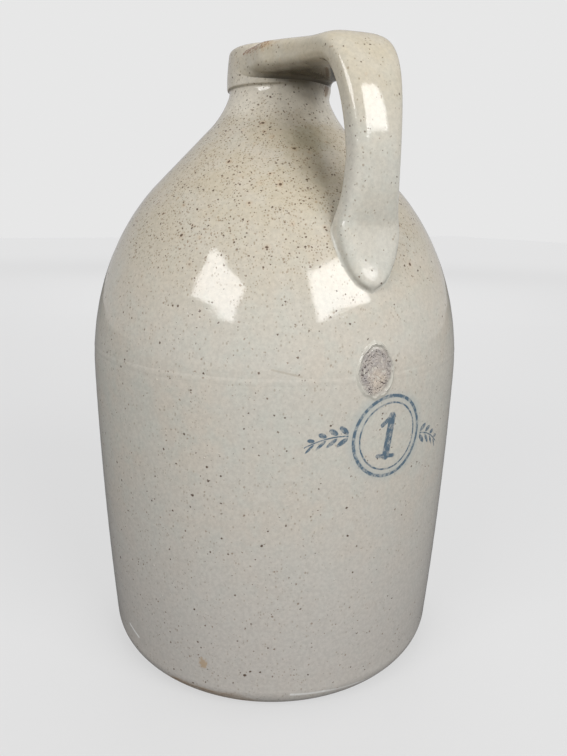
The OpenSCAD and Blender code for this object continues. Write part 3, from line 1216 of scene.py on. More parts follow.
class TurnedTree:
    """The Geometry Nodes tree that turns a profile round the jug's axis, with a hand-made waver."""

    def __init__(self) -> None:
        """Builds the tree."""
        g = NodeGroup("Turned form", "GeometryNodeTree",
                      {"Profile": (GEOMETRY, None), "Segments": (WHOLE, 240), "Rows": (WHOLE, 100),
                       "Waver": (FLOAT, 0.0), "Waver Scale": (FLOAT, 20.0), "Ring Depth": (FLOAT, 0.0),
                       "Ring Pitch": (FLOAT, 0.01), "Material": (MATERIAL, None)},
                      {"Geometry": GEOMETRY})
        segments, rows = g.takes["Segments"], g.takes["Rows"]
        columns = g.plus(segments, 1)
        grid = g.node("GeometryNodeMeshGrid", {"Size X": 1.0, "Size Y": 1.0, "Vertices X": columns,
                                               "Vertices Y": rows})
        x, y, _ = g.parts(g.node("GeometryNodeInputPosition").outputs[0])
        turn = g.times(g.plus(x, 0.5), 2 * math.pi)
        row = g.math("ROUND", g.times(g.plus(y, 0.5), g.minus(rows, 1)))
        sample = g.node("GeometryNodeSampleIndex", data_type="FLOAT_VECTOR", domain="POINT")
        g.feed(sample.inputs["Geometry"], g.takes["Profile"])
        g.feed(sample.inputs["Value"], g.node("GeometryNodeInputPosition").outputs[0])
        g.feed(sample.inputs["Index"], row)
        radius, _, height = g.parts(sample.outputs[0])
        around = g.joined(g.times(radius, g.math("COSINE", turn)),
                          g.times(radius, g.math("SINE", turn)), height)
        turned = g.node("GeometryNodeSetPosition", {"Geometry": grid.outputs[0], "Position": around})
        feeds = {"Geometry": turned.outputs[0], "Offset": self._waver(g)}
        wavered = g.node("GeometryNodeSetPosition", feeds)
        merged = g.node("GeometryNodeMergeByDistance", {"Geometry": wavered.outputs[0], "Distance": 1e-6})
        shaded = g.node("GeometryNodeSetShadeSmooth", {"Geometry": merged.outputs[0]})
        real = g.node("GeometryNodeRealizeInstances", {"Geometry": shaded.outputs[0]})
        g.give("Geometry", g.dressed(real.outputs[0]))
        self.tree = g.tree

    @staticmethod
    def _waver(g: NodeGroup) -> Socket:
        """Works out the outward offset: broad waves of the hand and shallow throwing rings.

        Args:
            g: The tree that is being built.

        Returns:
            The offset of each point.
        """
        place = g.node("GeometryNodeInputPosition").outputs[0]
        x, y, z = g.parts(place)
        out = g.vector("NORMALIZE", g.joined(x, y, 0.0))
        broad = g.minus(g.noise(place, g.takes["Waver Scale"], 1.0, 0.4), 0.5)
        wave = g.times(broad, g.takes["Waver"])
        drift = g.times(g.noise(place, 12.0, 1.0, 0.5), 9.0)
        phase = g.math("MULTIPLY_ADD", z, g.over(2 * math.pi, g.takes["Ring Pitch"]), drift)
        ring = g.times(g.math("SINE", phase), g.takes["Ring Depth"])
        return g.scaled(out, g.plus(wave, ring))


@dataclass(frozen=True)
class TurnedBody:
    """The parts that were turned on the wheel: lower body, seam, shoulder and mouth collar.

    Sizes are in millimetres and angles in degrees. The smear is the clay that was smoothed down under the
    strap's root: it fills the step under the collar round one angle.
    """

    form: JugForm
    segments: int = 288
    waver: float = 0.16
    waver_scale: float = 16.0
    ring_depth: float = 0.018
    ring_pitch: float = 9.0
    smear_height: float = 6.5
    smear_turn: float = 26.0
    smear_angle: float = 36.0
    smear_fade: float = 22.0
    smear_lift: float = 0.9
    smear_lift_from: float = 2.0
    smear_lift_to: float = 0.2
    smear_flat: float = 0.6
    smear_power: float = 2.2
    smear_inset: float = 0.15
    smear_spread: float = 0.06
    smear_wall: float = 8.0
    smear_wall_fade: float = 1.1
    seam_sink: float = 0.06

    def build(self, tree: TurnedTree, glaze: bpy.types.Material, shoulder_glaze: bpy.types.Material) -> None:
        """Builds, dresses and seats the four pieces.

        Args:
            tree: The lathe.
            glaze: Glaze of the lower body and the seam.
            shoulder_glaze: Glaze of the shoulder and the collar.
        """
        for name, profile, material, slot in (
            ("lower_body_glazed", self.lower_body(), glaze, Slot.BODY),
            ("seam_lute_glazed", self.seam_lute(), glaze, Slot.BODY),
            ("shoulder_glazed", self.shoulder(), shoulder_glaze, Slot.SHOULDER),
            ("mouth_collar_glazed", self.mouth_collar(), shoulder_glaze, Slot.SHOULDER),
        ):
            piece = self._turned(name, profile, tree, material)
            if name == "shoulder_glazed":
                self._smeared(piece)
            seat(piece, slot, name.removesuffix("_glazed"))

    def _turned(self, name: str, profile: np.ndarray, tree: TurnedTree,
                material: bpy.types.Material) -> bpy.types.Object:
        """Turns a profile round the axis.

        Args:
            name: Name of the piece.
            profile: One row of distance and height for each point of the closed outline.
            tree: The lathe.
            material: Material of the piece.

        Returns:
            The turned piece.
        """
        closed = np.concatenate([profile, profile[:1]])
        vertices = np.stack([closed[:, 0], np.zeros(len(closed)), closed[:, 1]], axis=1) * MM
        edges = [(i, i + 1) for i in range(len(closed) - 1)]
        piece = object_from(name, vertices, [], edges=edges)
        apply_tree(piece, tree.tree, {
            "Segments": self.segments, "Rows": len(closed), "Waver": self.waver * MM,
            "Waver Scale": self.waver_scale, "Ring Depth": self.ring_depth * MM,
            "Ring Pitch": self.ring_pitch * MM, "Material": material})
        finish_mesh(piece)
        return piece

    def _smeared(self, piece: bpy.types.Object) -> None:
        """Fills the step under the collar on the handle's side, where the strap's clay was smoothed down.

        Args:
            piece: The turned shoulder.
        """
        f = self.form
        inner = f.bore + self.smear_wall
        for vertex in piece.data.vertices:
            x, y, z = (c / MM for c in vertex.co)
            radius = math.hypot(x, y)
            if radius < inner or z < f.collar_z - self.smear_height:
                continue
            aside = abs(math.degrees(math.atan2(y, x)) - self.smear_turn)
            near = float(1 - smooth(aside, self.smear_angle, self.smear_angle + self.smear_fade))
            rise = (z - f.collar_z + self.smear_height) / (self.smear_height - self.smear_flat)
            fade = min(1.0, (radius - inner) / self.smear_wall_fade)
            share = near * min(1.0, rise) ** self.smear_power * fade
            target = f.collar_low - self.smear_inset + self.smear_spread * (radius - f.neck_radius)
            moved = mix(radius, target, share) / radius
            top = smooth(z, f.collar_z - self.smear_lift_from, f.collar_z - self.smear_lift_to)
            vertex.co = Vector((x * moved, y * moved, z + self.smear_lift * near * float(top))) * MM

    def lower_body(self) -> np.ndarray:
        """Draws the lower body: foot, heel, wall and the lower half of the seam.

        Returns:
            One row of distance and height for each point.
        """
        f = self.form
        foot_r = f.belly_radius - f.wall_taper - f.heel_radius
        ring_r = foot_r - f.foot_ring
        low = f.dome_angle(f.seam_z - f.lute / 2)
        inner_z = f.inner_floor_z + f.inner_heel_radius
        inner_r = f.wall_radius(inner_z) - f.wall - f.inner_heel_radius
        wall_z = np.linspace(f.heel_radius, f.belly_z, 112)[1:]
        inner_wall_z = np.linspace(f.belly_z, inner_z, 50)
        lip, lip_in = f.dome(low), f.dome(low, -f.wall)
        return np.concatenate([
            [[0, f.foot_hollow]],
            straight((0, f.foot_hollow), (ring_r - f.foot_slope, f.foot_hollow), 14),
            [[ring_r - f.foot_slope, f.foot_hollow]],
            straight((ring_r - f.foot_slope, f.foot_hollow), (ring_r, 0), 4),
            [[ring_r, 0]],
            straight((ring_r, 0), (foot_r, 0), 10),
            arc((foot_r, f.heel_radius), f.heel_radius, -90, 0, 26),
            np.stack([f.wall_radius(wall_z), wall_z], axis=1),
            f.dome(np.linspace(0, low, 11)[1:]),
            straight(lip, lip_in, 4),
            f.dome(np.linspace(low, 0, 6), -f.wall)[:-1],
            np.stack([f.wall_radius(inner_wall_z) - f.wall, inner_wall_z], axis=1),
            arc((inner_r, inner_z), f.inner_heel_radius, 0, -90, 14)[1:],
            straight((inner_r, f.inner_floor_z), (0, f.inner_floor_z), 14),
            [[0, f.inner_floor_z]],
            straight((0, f.inner_floor_z), (0, f.foot_hollow), 3),
        ])

    def seam_lute(self) -> np.ndarray:
        """Draws the slip in the seam, with a low swelling outside and a ridge inside.

        Returns:
            One row of distance and height for each point.
        """
        f = self.form
        low, high = (f.dome_angle(f.seam_z + side * f.ridge_height / 2) for side in (-1, 1))
        angle = np.linspace(low, high, 25)
        swell = (1 - np.cos(np.linspace(0, 2 * math.pi, 25))) / 2
        outside = f.dome(angle, f.ridge_out * swell - self.seam_sink)
        inside = f.dome(angle, -f.wall - f.ridge_in * swell + self.seam_sink)
        return np.concatenate([outside, inside[::-1]])

    def shoulder(self) -> np.ndarray:
        """Draws the upper half: dome, straight shoulder, neck and throat.

        Returns:
            One row of distance and height for each point.
        """
        f = self.form
        high = f.dome_angle(f.seam_z + f.lute / 2)
        neck, throat = f.neck_to_collar(), f.throat(20)
        dome = f.dome(np.linspace(high, f.dome_end, 112))
        dome_in = f.dome(np.linspace(f.dome_end, high, 60), -f.wall)
        if throat[-1][1] < f.collar_z:
            throat = np.concatenate([throat, [[f.bore, f.collar_z]]])
        return np.concatenate([
            dome,
            straight(tuple(dome[-1]), tuple(neck[0]), 30),
            neck,
            straight(tuple(neck[-1]), tuple(throat[-1]), 6),
            throat[::-1],
            straight(tuple(throat[0]), tuple(dome_in[0]), 14),
            dome_in,
            straight(tuple(dome_in[-1]), tuple(dome[0]), 4),
        ])

    def mouth_collar(self) -> np.ndarray:
        """Draws the collar: stepped below, drawn in and rounded at the rim.

        Returns:
            One row of distance and height for each point.
        """
        f = self.form
        edge = arc((f.collar_low - f.collar_edge, f.collar_z + f.collar_edge), f.collar_edge, -90, 0, 9)
        rim = arc((f.collar_top - f.rim_round, f.height - f.rim_round), f.rim_round, 0, 90, 14)
        mouth = arc((f.bore + f.mouth_round, f.height - f.mouth_round), f.mouth_round, 90, 180, 9)
        base = (f.bore, f.collar_z)
        side_z = np.linspace(edge[-1][1], rim[0][1], 24)[1:-1]
        return np.concatenate([
            [base], straight(base, tuple(edge[0]), 8), edge,
            np.stack([f.collar_radius(side_z), side_z], axis=1), rim,
            straight(tuple(rim[-1]), tuple(mouth[0]), 8), mouth,
            straight(tuple(mouth[-1]), base, 16),
        ])


@dataclass(frozen=True)
class Furrow:
    """A slow wave along the strap: its depth and length in millimetres, its turns round and its start."""

    depth: float
    turns: float
    length: float
    start: float = 0.0


@dataclass(frozen=True)
class StrapHandle:
    """The pulled strap, from the collar over the bend and down to the pad that was pressed onto the dome.

    Sizes are in millimetres and angles in degrees. Powers say how full a rounded oblong is: 2 is an ellipse.
    A pair named on or off gives the shares of the strap's length over which an effect comes or goes.
    """

    form: JugForm
    root_w: float = 44.0
    root_t: float = 12.4
    root_drop: float = 1.0
    strap_fall: float = 1.1
    bend_w: float = 29.4
    bend_t: float = 11.2
    bend_reach: float = 23.0
    bend_drop: float = 47.0
    bend_top_power: float = 2.7
    bend_side_power: float = 2.0
    waist_w: float = 20.4
    waist_t: float = 11.6
    strap_lean: float = 2.6
    pad_w: float = 29.0
    pad_h: float = 7.8
    tip_h: float = 2.6
    pad_thin_power: float = 2.2
    tip_skew: float = 2.4
    tip_share: float = 0.985
    twist: float = 5.0
    twist_on: Pair = (0.2, 0.5)
    pad_twist: float = 2.5
    pad_twist_on: Pair = (0.7, 0.9)
    pad_bed: float = 4.0
    seat_angle: float = 37.0
    tip_angle: float = 23.6
    root_power: float = 4.4
    section_power: float = 3.6
    worn_power: float = 2.6
    wear_on: Pair = (0.15, 0.4)
    wear_off: Pair = (0.68, 0.94)
    bed_power: float = 5.0
    tip_power: float = 4.2
    pad_point_power: float = 0.56
    drop_pull_share: float = 0.75
    seat_pull_share: float = 0.18
    thicken_share: float = 0.3
    root_steps: int = 9
    bend_steps: int = 12
    drop_steps: int = 14
    pad_steps: int = 14
    evened: int = 20
    ring_step: float = 0.62
    ring_points: int = 120
    tip_round: float = 3.0
    point_round: float = 7.0
    rounded_to: float = 0.998
    root_fillet: float = 2.0
    pad_fillet: float = 1.5
    under_rim: Pair = (6.0, 3.0)
    under_collar: float = 4.0
    bedded: float = 0.04
    least_side: float = 0.2
    flare_from: float = 0.3
    flare_gain: float = 1.6
    inner_start: float = 18.0
    start_blend: float = 24.0
    furrows: tuple[Furrow, ...] = (Furrow(0.10, 1.5, 42.0), Furrow(0.12, 0.5, 17.0, 9.0))

    def build(self, glaze: bpy.types.Material) -> None:
        """Builds, dresses and seats the handle.

        Args:
            glaze: Its glaze.
        """
        rings = self._rings(self._refined(self._stations()))
        rings = self._luted(self._rooted(self._pulled(rings)))
        count, facets = rings.shape[:2]
        faces = []
        for low in range(0, (count - 1) * facets, facets):
            high = low + facets
            for j in range(facets):
                after = (j + 1) % facets
                faces.append((low + j, low + after, high + after, high + j))
        faces.append(tuple(range(facets - 1, -1, -1)))
        faces.append(tuple(range((count - 1) * facets, count * facets)))
        piece = object_from("strap_handle_glazed", rings.reshape(-1, 3) * MM, faces, glaze)
        finish_mesh(piece, sharp=60.0)
        seat(piece, Slot.HANDLE, "strap_handle")

    def _stations(self) -> np.ndarray:
        """Makes the strap's stations from the collar to the tip.

        Returns:
            For each station the distance from the axis, the height, the width, the thickness, how flat the
            under side is, how full the section is and how far it lies off to the side.
        """
        f = self.form
        root_z = f.height - self.root_drop - self.root_t / 2
        bend_z = root_z - self.strap_fall
        seat_point = f.dome(self.seat_angle, (self.pad_h - self.pad_bed) / 2)
        normal = f.dome_normal(self.seat_angle)
        seat_way = np.array([normal[1], -normal[0]])
        drop_top = np.array([seat_point[0] + self.strap_lean, bend_z - self.bend_drop])
        drop_length = drop_top[1] - seat_point[1]
        bend_x = drop_top[0] - self.bend_reach
        rows = []
        for i in range(self.root_steps):
            x = bend_x * i / self.root_steps
            share = min(1.0, max(0.0, (x - f.collar_top) / (bend_x - f.collar_top)))
            eased = ease(share)
            rows.append([x, mix(root_z, bend_z, eased), mix(self.bend_w, self.root_w, (1 - share) ** 2),
                         mix(self.root_t, self.bend_t, share), 0,
                         mix(self.root_power, self.section_power, eased), 0])
        for i in range(self.bend_steps):
            share = i / self.bend_steps
            turn = math.radians(90 * (1 - share))
            out = math.cos(turn) ** (2 / self.bend_top_power)
            up = math.sin(turn) ** (2 / self.bend_side_power)
            rows.append([bend_x + self.bend_reach * out, drop_top[1] + self.bend_drop * up,
                         mix(self.bend_w, self.waist_w, ease(share)),
                         mix(self.bend_t, self.waist_t, share), 0, self.section_power, 0])
        below = drop_top - np.array([0, self.drop_pull_share * drop_length])
        above = seat_point - self.seat_pull_share * drop_length * seat_way
        for i in range(self.drop_steps):
            share = i / self.drop_steps
            rest = 1 - share
            p = (rest ** 3 * drop_top + 3 * share * rest ** 2 * below
                 + 3 * share ** 2 * rest * above + share ** 3 * seat_point)
            thicken = float(smooth(share, self.thicken_share, 1.0))
            rows.append([p[0], p[1], mix(self.waist_w, self.pad_w, ease(share)),
                         mix(self.waist_t, self.pad_h + self.pad_bed, thicken), thicken,
                         self.section_power, 0])
        for i in range(self.pad_steps):
            share = self.tip_share * math.sin(math.radians(90 * i / (self.pad_steps - 1)))
            tall = mix(self.tip_h, self.pad_h, (1 - share) ** self.pad_thin_power)
            p = f.dome(mix(self.seat_angle, self.tip_angle, share), (tall - self.pad_bed) / 2)
            rows.append([p[0], p[1], self.pad_w * (1 - share * share) ** self.pad_point_power,
                         tall + self.pad_bed, 1, mix(self.section_power, self.tip_power, share),
                         self.tip_skew * share * share])
        stations = np.array(rows)
        first = self.root_steps + self.bend_steps
        for _ in range(self.evened):
            mean = (stations[:-2] + 2 * stations[1:-1] + stations[2:]) / 4
            stations[first:-5] = mean[first - 1:-4]
        return stations

    def _refined(self, stations: np.ndarray) -> np.ndarray:
        """Places stations a short step apart on a smooth curve, and rounds them off at the tip.

        Args:
            stations: The strap's few stations.

        Returns:
            The many stations, with the same columns.
        """
        along = np.concatenate([[0], np.cumsum(np.linalg.norm(np.diff(stations[:, :2], axis=0), axis=1))])
        slope = np.gradient(stations, along, axis=0)
        at = np.linspace(0, along[-1], int(along[-1] / self.ring_step))
        i = np.clip(np.searchsorted(along, at, side="right") - 1, 0, len(along) - 2)
        gap = (along[i + 1] - along[i])[:, None]
        t = ((at - along[i])[:, None]) / gap
        fine = (stations[i] * (1 + 2 * t) * (1 - t) ** 2 + slope[i] * gap * t * (1 - t) ** 2
                + stations[i + 1] * t * t * (3 - 2 * t) + slope[i + 1] * gap * t * t * (t - 1))
        past = (at - along[-1])[:, None] / np.array([self.point_round, self.tip_round]) + 1
        fine[:, 2:4] *= np.sqrt(1 - np.clip(past, 0, self.rounded_to) ** 2)
        return fine

    def _rings(self, stations: np.ndarray) -> np.ndarray:
        """Draws a full rounded oblong at each station.

        Args:
            stations: The strap's many stations.

        Returns:
            For each station its ring of evenly spaced points.
        """
        way = np.gradient(stations[:, :2], axis=0)
        way /= np.linalg.norm(way, axis=1, keepdims=True)
        dense = np.linspace(0, 2 * math.pi, 1441)
        share = np.linspace(0, 1, len(stations))
        twist = np.radians(self.twist * smooth(share, *self.twist_on)
                           + (self.pad_twist - self.twist) * smooth(share, *self.pad_twist_on))
        wear = smooth(share, *self.wear_on) * (1 - smooth(share, *self.wear_off))
        rings = []
        for station, (dx, dz), turn, worn in zip(stations, way, twist, wear):
            upper = np.where(np.cos(dense) < 0, mix(station[5], self.worn_power, worn), station[5])
            power = np.where(np.sin(dense) < 0, mix(station[5], self.bed_power, station[4]), upper)
            across = np.sign(np.cos(dense)) * np.abs(np.cos(dense)) ** (2 / power) * station[2] / 2
            up = np.sign(np.sin(dense)) * np.abs(np.sin(dense)) ** (2 / power) * station[3] / 2
            length = np.concatenate([[0], np.cumsum(np.hypot(np.diff(across), np.diff(up)))])
            even = np.linspace(0, length[-1], self.ring_points + 1)[:-1]
            across, up = np.interp(even, length, across), np.interp(even, length, up)
            across, up = (across * math.cos(turn) - up * math.sin(turn),
                          across * math.sin(turn) + up * math.cos(turn))
            ring = [station[0] - dz * up, across - station[6], station[1] + dx * up]
            rings.append(np.stack(ring, axis=1))
        return np.array(rings)

    @staticmethod
    def _normals(rings: np.ndarray) -> np.ndarray:
        """Finds the outward normals of a stack of rings.

        Args:
            rings: The rings.

        Returns:
            One normal for each point.
        """
        along = np.gradient(rings, axis=0)
        round_ = np.roll(rings, -1, axis=1) - np.roll(rings, 1, axis=1)
        normal = np.cross(round_, along)
        normal /= np.maximum(np.linalg.norm(normal, axis=2, keepdims=True), 1e-9)
        middle = rings.mean(axis=1, keepdims=True)
        if np.sum(normal * (rings - middle)) < 0:
            normal = -normal
        return normal

    def _pulled(self, rings: np.ndarray) -> np.ndarray:
        """Adds the shallow lengthwise furrows and slow waver that pulling by hand leaves.

        Args:
            rings: The strap's rings.

        Returns:
            The furrowed rings.
        """
        count, facets = rings.shape[:2]
        depth = np.zeros((count, facets))
        for j in range(facets):
            turn = 2 * math.pi * j / facets
            for i in range(count):
                for wave in self.furrows:
                    place = Vector((wave.turns * math.cos(turn), wave.turns * math.sin(turn),
                                    i * self.ring_step / wave.length + wave.start))
                    depth[i, j] += wave.depth * noise.noise(place)
        return rings + self._normals(rings) * depth[..., None]

    def _rooted(self, rings: np.ndarray) -> np.ndarray:
        """Starts the strap inside the collar's wall, so that none of it stands in the mouth.

        Args:
            rings: The strap's rings.

        Returns:
            The same rings, with those near the axis moved out.
        """
        x, y = rings[..., 0], rings[..., 1]
        start = np.sqrt(np.maximum(0.0, self.inner_start ** 2 - y ** 2))
        near = x < self.start_blend
        moved = start + np.maximum(x, 0.0) * (1 - start / self.start_blend)
        rings[..., 0] = np.where(near, moved, x)
        return rings

    def _luted(self, rings: np.ndarray) -> np.ndarray:
        """Flares the strap where it meets the dome and the collar, as slip smoothed into the corner does.

        Args:
            rings: The strap's rings.

        Returns:
            The flared rings.
        """
        f = self.form
        normal = self._normals(rings)
        out = np.hypot(rings[..., 0], rings[..., 1])
        radial = np.stack([rings[..., 0] / out, rings[..., 1] / out, np.zeros_like(out)], axis=-1)
        line = f.outside()
        step = np.gradient(line, axis=0)
        step /= np.linalg.norm(step, axis=1, keepdims=True)
        z = rings[..., 2]
        on_collar = z > f.collar_z - self.under_collar
        lean = np.where(on_collar, 0.0, np.interp(z, line[:, 1], -step[:, 0]))
        upright = np.sqrt(1 - lean ** 2)
        wall_r = np.where(on_collar, f.collar_radius(z), np.interp(z, line[:, 1], line[:, 0]))
        face = radial * upright[..., None] + np.array([0, 0, 1.0]) * lean[..., None]
        reach = np.where(on_collar, self.root_fillet, self.pad_fillet)
        away = (out - wall_r) * upright
        q = away / reach
        side = normal - np.sum(normal * face, axis=-1, keepdims=True) * face
        strength = np.linalg.norm(side, axis=-1, keepdims=True)
        side = side / np.maximum(strength, 1e-9)
        near = (np.abs(q) < 1)[..., None] & (strength > self.least_side)
        lift = reach * (1 + q) ** 2 / 4 - self.bedded - away
        share = np.clip(strength[..., 0] * self.flare_gain - self.flare_from, 0, 1)
        flare = reach * (1 - q) ** 2 / 4 * share
        under_rim = 1 - smooth(z, *(f.height - c for c in self.under_rim))
        moved = (face * lift[..., None] + side * flare[..., None]) * under_rim[..., None]
        return np.where(near, rings + moved, rings)


@dataclass(frozen=True)
class KilnScar:
    """The blister over the mark, where another pot touched the glaze in the kiln.

    Sizes are in millimetres and the angle is in degrees. A share is a place between the middle, 0, and the
    outline, 1, and the skirt is how far past the outline the rim runs out into the wall. Waves say how
    quickly the noise of a form changes.
    """

    form: JugForm
    angle: float = -1.9
    z: float = 156.9
    half_width: float = 8.9
    half_height: float = 11.2
    belly_low: float = 0.15
    waist: float = 0.2
    wobble: float = 0.09
    wobble_waves: float = 2.0
    rim_height: float = 0.85
    rim_least: float = 0.30
    rim_turn: float = 15.0
    rim_share: float = 0.93
    rim_share_waver: float = 0.07
    rim_waves: float = 3.0
    rim_width_share: float = 0.055
    second_height: float = 0.62
    second_from: float = 0.45
    second_share: float = 0.74
    second_width_share: float = 0.05
    floor_height: float = 0.14
    floor_shares: Pair = (0.84, 0.98)
    rough_height: float = 0.17
    rough_waves: Pair = (5.2, 6.0)
    fine_height: float = 0.10
    fine_waves: float = 3.1
    shelf_height: float = 0.16
    sink: float = 0.15
    fall_share: float = 0.95
    skirt: float = 1.12
    depth: float = 1.2
    rings: int = 64
    spokes: int = 144

    def build(self, material: bpy.types.Material) -> None:
        """Builds, dresses and seats the scar.

        Args:
            material: Its finish.
        """
        turns = [2 * math.pi * k / self.spokes for k in range(self.spokes)]
        vertices = [self._point(0, 0, self._height(0, 0))]
        for share in np.linspace(0, self.skirt, self.rings + 1)[1:]:
            vertices += [self._point(share, turn, self._height(share, turn)) for turn in turns]
        for share in (self.skirt, self.skirt / 2):
            vertices += [self._point(share, turn, -self.depth) for turn in turns]
        vertices.append(self._point(0, 0, -self.depth))
        last = len(vertices) - 1
        end = last - self.spokes
        faces = []
        for k in range(self.spokes):
            after = (k + 1) % self.spokes
            faces.append((0, 1 + k, 1 + after))
            faces += [(low + k, low + self.spokes + k, low + self.spokes + after, low + after)
                      for low in range(1, end, self.spokes)]
            faces.append((end + after, end + k, last))
        piece = object_from("kiln_scar", np.array(vertices), faces, material)
        finish_mesh(piece, sharp=70.0)
        seat(piece, Slot.BODY)

    def _height(self, share: float, turn: float) -> float:
        """Works out the height of the blister over the wall.

        Args:
            share: Share of the radius.
            turn: Angle round the middle in radians.

        Returns:
            The height in millimetres.
        """
        upper = 0.5 + 0.5 * math.sin(turn + math.radians(self.rim_turn))
        waves = self.rough_waves
        place = Vector((share * math.cos(turn) * waves[0], share * math.sin(turn) * waves[1], 1.7))
        waver = noise.noise(Vector((self.rim_waves * math.cos(turn), self.rim_waves * math.sin(turn), 8.1)))
        off_rim = (share - self.rim_share - self.rim_share_waver * waver) / self.rim_width_share
        tall = mix(self.rim_least, 1.0, upper ** 2)
        rim = self.rim_height * tall * math.exp(-off_rim ** 2)
        off_second = (share - self.second_share) / self.second_width_share
        second = self.second_height * self.rim_height * max(0.0, upper - self.second_from)
        second *= math.exp(-off_second ** 2)
        rough = self.rough_height * noise.fractal(place, 0.7, 2.1, 4)
        rough += self.fine_height * noise.noise(place * self.fine_waves)
        inside = float(1 - smooth(share, *self.floor_shares))
        fall = float(1 - smooth(share, self.fall_share, self.skirt))
        shelf = self.shelf_height * (1 - inside) * fall - self.sink * (1 - fall)
        return (self.floor_height + rough) * inside + rim + second + shelf

    def _point(self, share: float, turn: float, height: float) -> Vector:
        """Finds a place on the scar.

        Args:
            share: Share of the radius.
            turn: Angle round the middle in radians.
            height: Height over the wall in millimetres.

        Returns:
            The place in metres.
        """
        pear = (1 - self.belly_low * math.sin(turn)) * abs(math.cos(turn)) ** self.waist
        way = Vector((self.wobble_waves * math.cos(turn), self.wobble_waves * math.sin(turn), 4.4))
        wobble = 1 + self.wobble * noise.noise(way)
        across = share * self.half_width * math.cos(turn) * pear * wobble
        up = share * self.half_height * math.sin(turn) * wobble
        z = self.z + up
        on = self.form.on_wall(self.angle + math.degrees(across / self.form.belly_radius), z)
        lean = self.form.dome_normal(max(0.0, self.form.dome_angle(z)))
        flat = Vector((on.x, on.y, 0)).normalized()
        normal = flat * float(lean[0]) + Vector((0, 0, float(lean[1])))
        return on + normal * height * MM


@dataclass(frozen=True)
class KilnPips:
    """Crumbs of kiln dust that fell on the wall and were glazed over.

    Density is a count for each square metre, and the radius and the height over the foot are in millimetres.
    """

    density: float = 620.0
    radius: float = 0.42
    over_foot: float = 12.0
    seed: int = 7

    def build(self, target: bpy.types.Object, material: bpy.types.Material) -> None:
        """Scatters the crumbs over a piece, and seats them as one piece.

        Args:
            target: The glazed lower body.
            material: Its glaze.
        """
        piece = bpy.data.objects.new("kiln_pips", target.data.copy())
        bpy.context.scene.collection.objects.link(piece)
        apply_tree(piece, self._tree(), {
            "Density": self.density, "Radius": self.radius * MM, "Over Foot": self.over_foot * MM,
            "Seed": self.seed, "Material": material})
        finish_mesh(piece, sharp=80.0)
        seat(piece, Slot.BODY)

    @staticmethod
    def _tree() -> bpy.types.NodeTree:
        """Builds the tree that scatters flattened beads over the outside of the wall.

        Returns:
            The tree.
        """
        g = NodeGroup("Kiln pips", "GeometryNodeTree",
                      {"Wall": (GEOMETRY, None), "Density": (FLOAT, 600.0), "Radius": (FLOAT, 0.0004),
                       "Over Foot": (FLOAT, 0.0), "Seed": (WHOLE, 1), "Material": (MATERIAL, None)},
                      {"Geometry": GEOMETRY})
        place = g.node("GeometryNodeInputPosition").outputs[0]
        normal = g.node("GeometryNodeInputNormal").outputs[0]
        x, y, z = g.parts(place)
        outward = g.math("GREATER_THAN", g.vector("DOT_PRODUCT", normal, g.joined(x, y, 0.0), out=1), 0.0)
        over_foot = g.math("GREATER_THAN", z, g.takes["Over Foot"])
        points = g.node("GeometryNodeDistributePointsOnFaces", {
            "Mesh": g.takes["Wall"], "Selection": g.times(outward, over_foot),
            "Density": g.takes["Density"], "Seed": g.takes["Seed"]})
        bead = g.node("GeometryNodeMeshIcoSphere", {"Radius": g.takes["Radius"], "Subdivisions": 2})
        feeds = {2: 0.35, 3: 1.0, "Seed": g.takes["Seed"]}
        across = g.node("FunctionNodeRandomValue", feeds, data_type="FLOAT").outputs[1]
        scale = g.joined(across, across, g.times(across, 0.5))
        placed = g.node("GeometryNodeInstanceOnPoints", {
            "Points": points.outputs["Points"], "Instance": bead.outputs[0],
            "Rotation": points.outputs["Rotation"], "Scale": scale})
        real = g.node("GeometryNodeRealizeInstances", {"Geometry": placed.outputs[0]})
        g.give("Geometry", g.dressed(real.outputs[0]))
        return g.tree


@dataclass(frozen=True)
class Softbox:
    """A softbox, placed by where the dome mirrors it.

    Angles are in degrees, and azimuths are measured from the camera's side of the jug, to the right. The
    mirror's height is in millimetres, and the lamp's own size and distance are in metres.
    """

    name: str
    mirror_azimuth: float
    mirror_z: float
    azimuth: float
    elevation: float
    facing: tuple[float, float, float]
    width: float
    height: float
    distance: float = 1.2
    radiance: float = 7.0
    mirrored: bool = True

    def build(self, form: JugForm, camera_side: float) -> None:
        """Adds the lamp.

        Args:
            form: The jug's sizes.
            camera_side: Angle round the jug at which the camera stands.
        """
        lamp = bpy.data.lights.new(self.name, "AREA")
        lamp.shape = "RECTANGLE"
        lamp.size, lamp.size_y = self.width, self.height
        lamp.energy = self.radiance * math.pi * self.width * self.height
        made = bpy.data.objects.new(self.name, lamp)
        made.visible_glossy = self.mirrored
        bpy.context.scene.collection.objects.link(made)
        mirror = form.on_wall(camera_side + self.mirror_azimuth, self.mirror_z)
        turn, rise = math.radians(self.azimuth + camera_side), math.radians(self.elevation)
        way = Vector((math.cos(rise) * math.cos(turn), math.cos(rise) * math.sin(turn), math.sin(rise)))
        yaw, pitch, roll = (math.radians(a) for a in self.facing)
        face = Matrix.Rotation(yaw + math.radians(camera_side), 3, "Z") @ Matrix.Rotation(pitch, 3, "Y") @ (
            Matrix.Rotation(roll, 3, "X"))
        axes = Matrix((face.col[1], face.col[2], face.col[0])).transposed()
        made.matrix_world = Matrix.Translation(mirror + way * self.distance) @ axes.to_4x4()


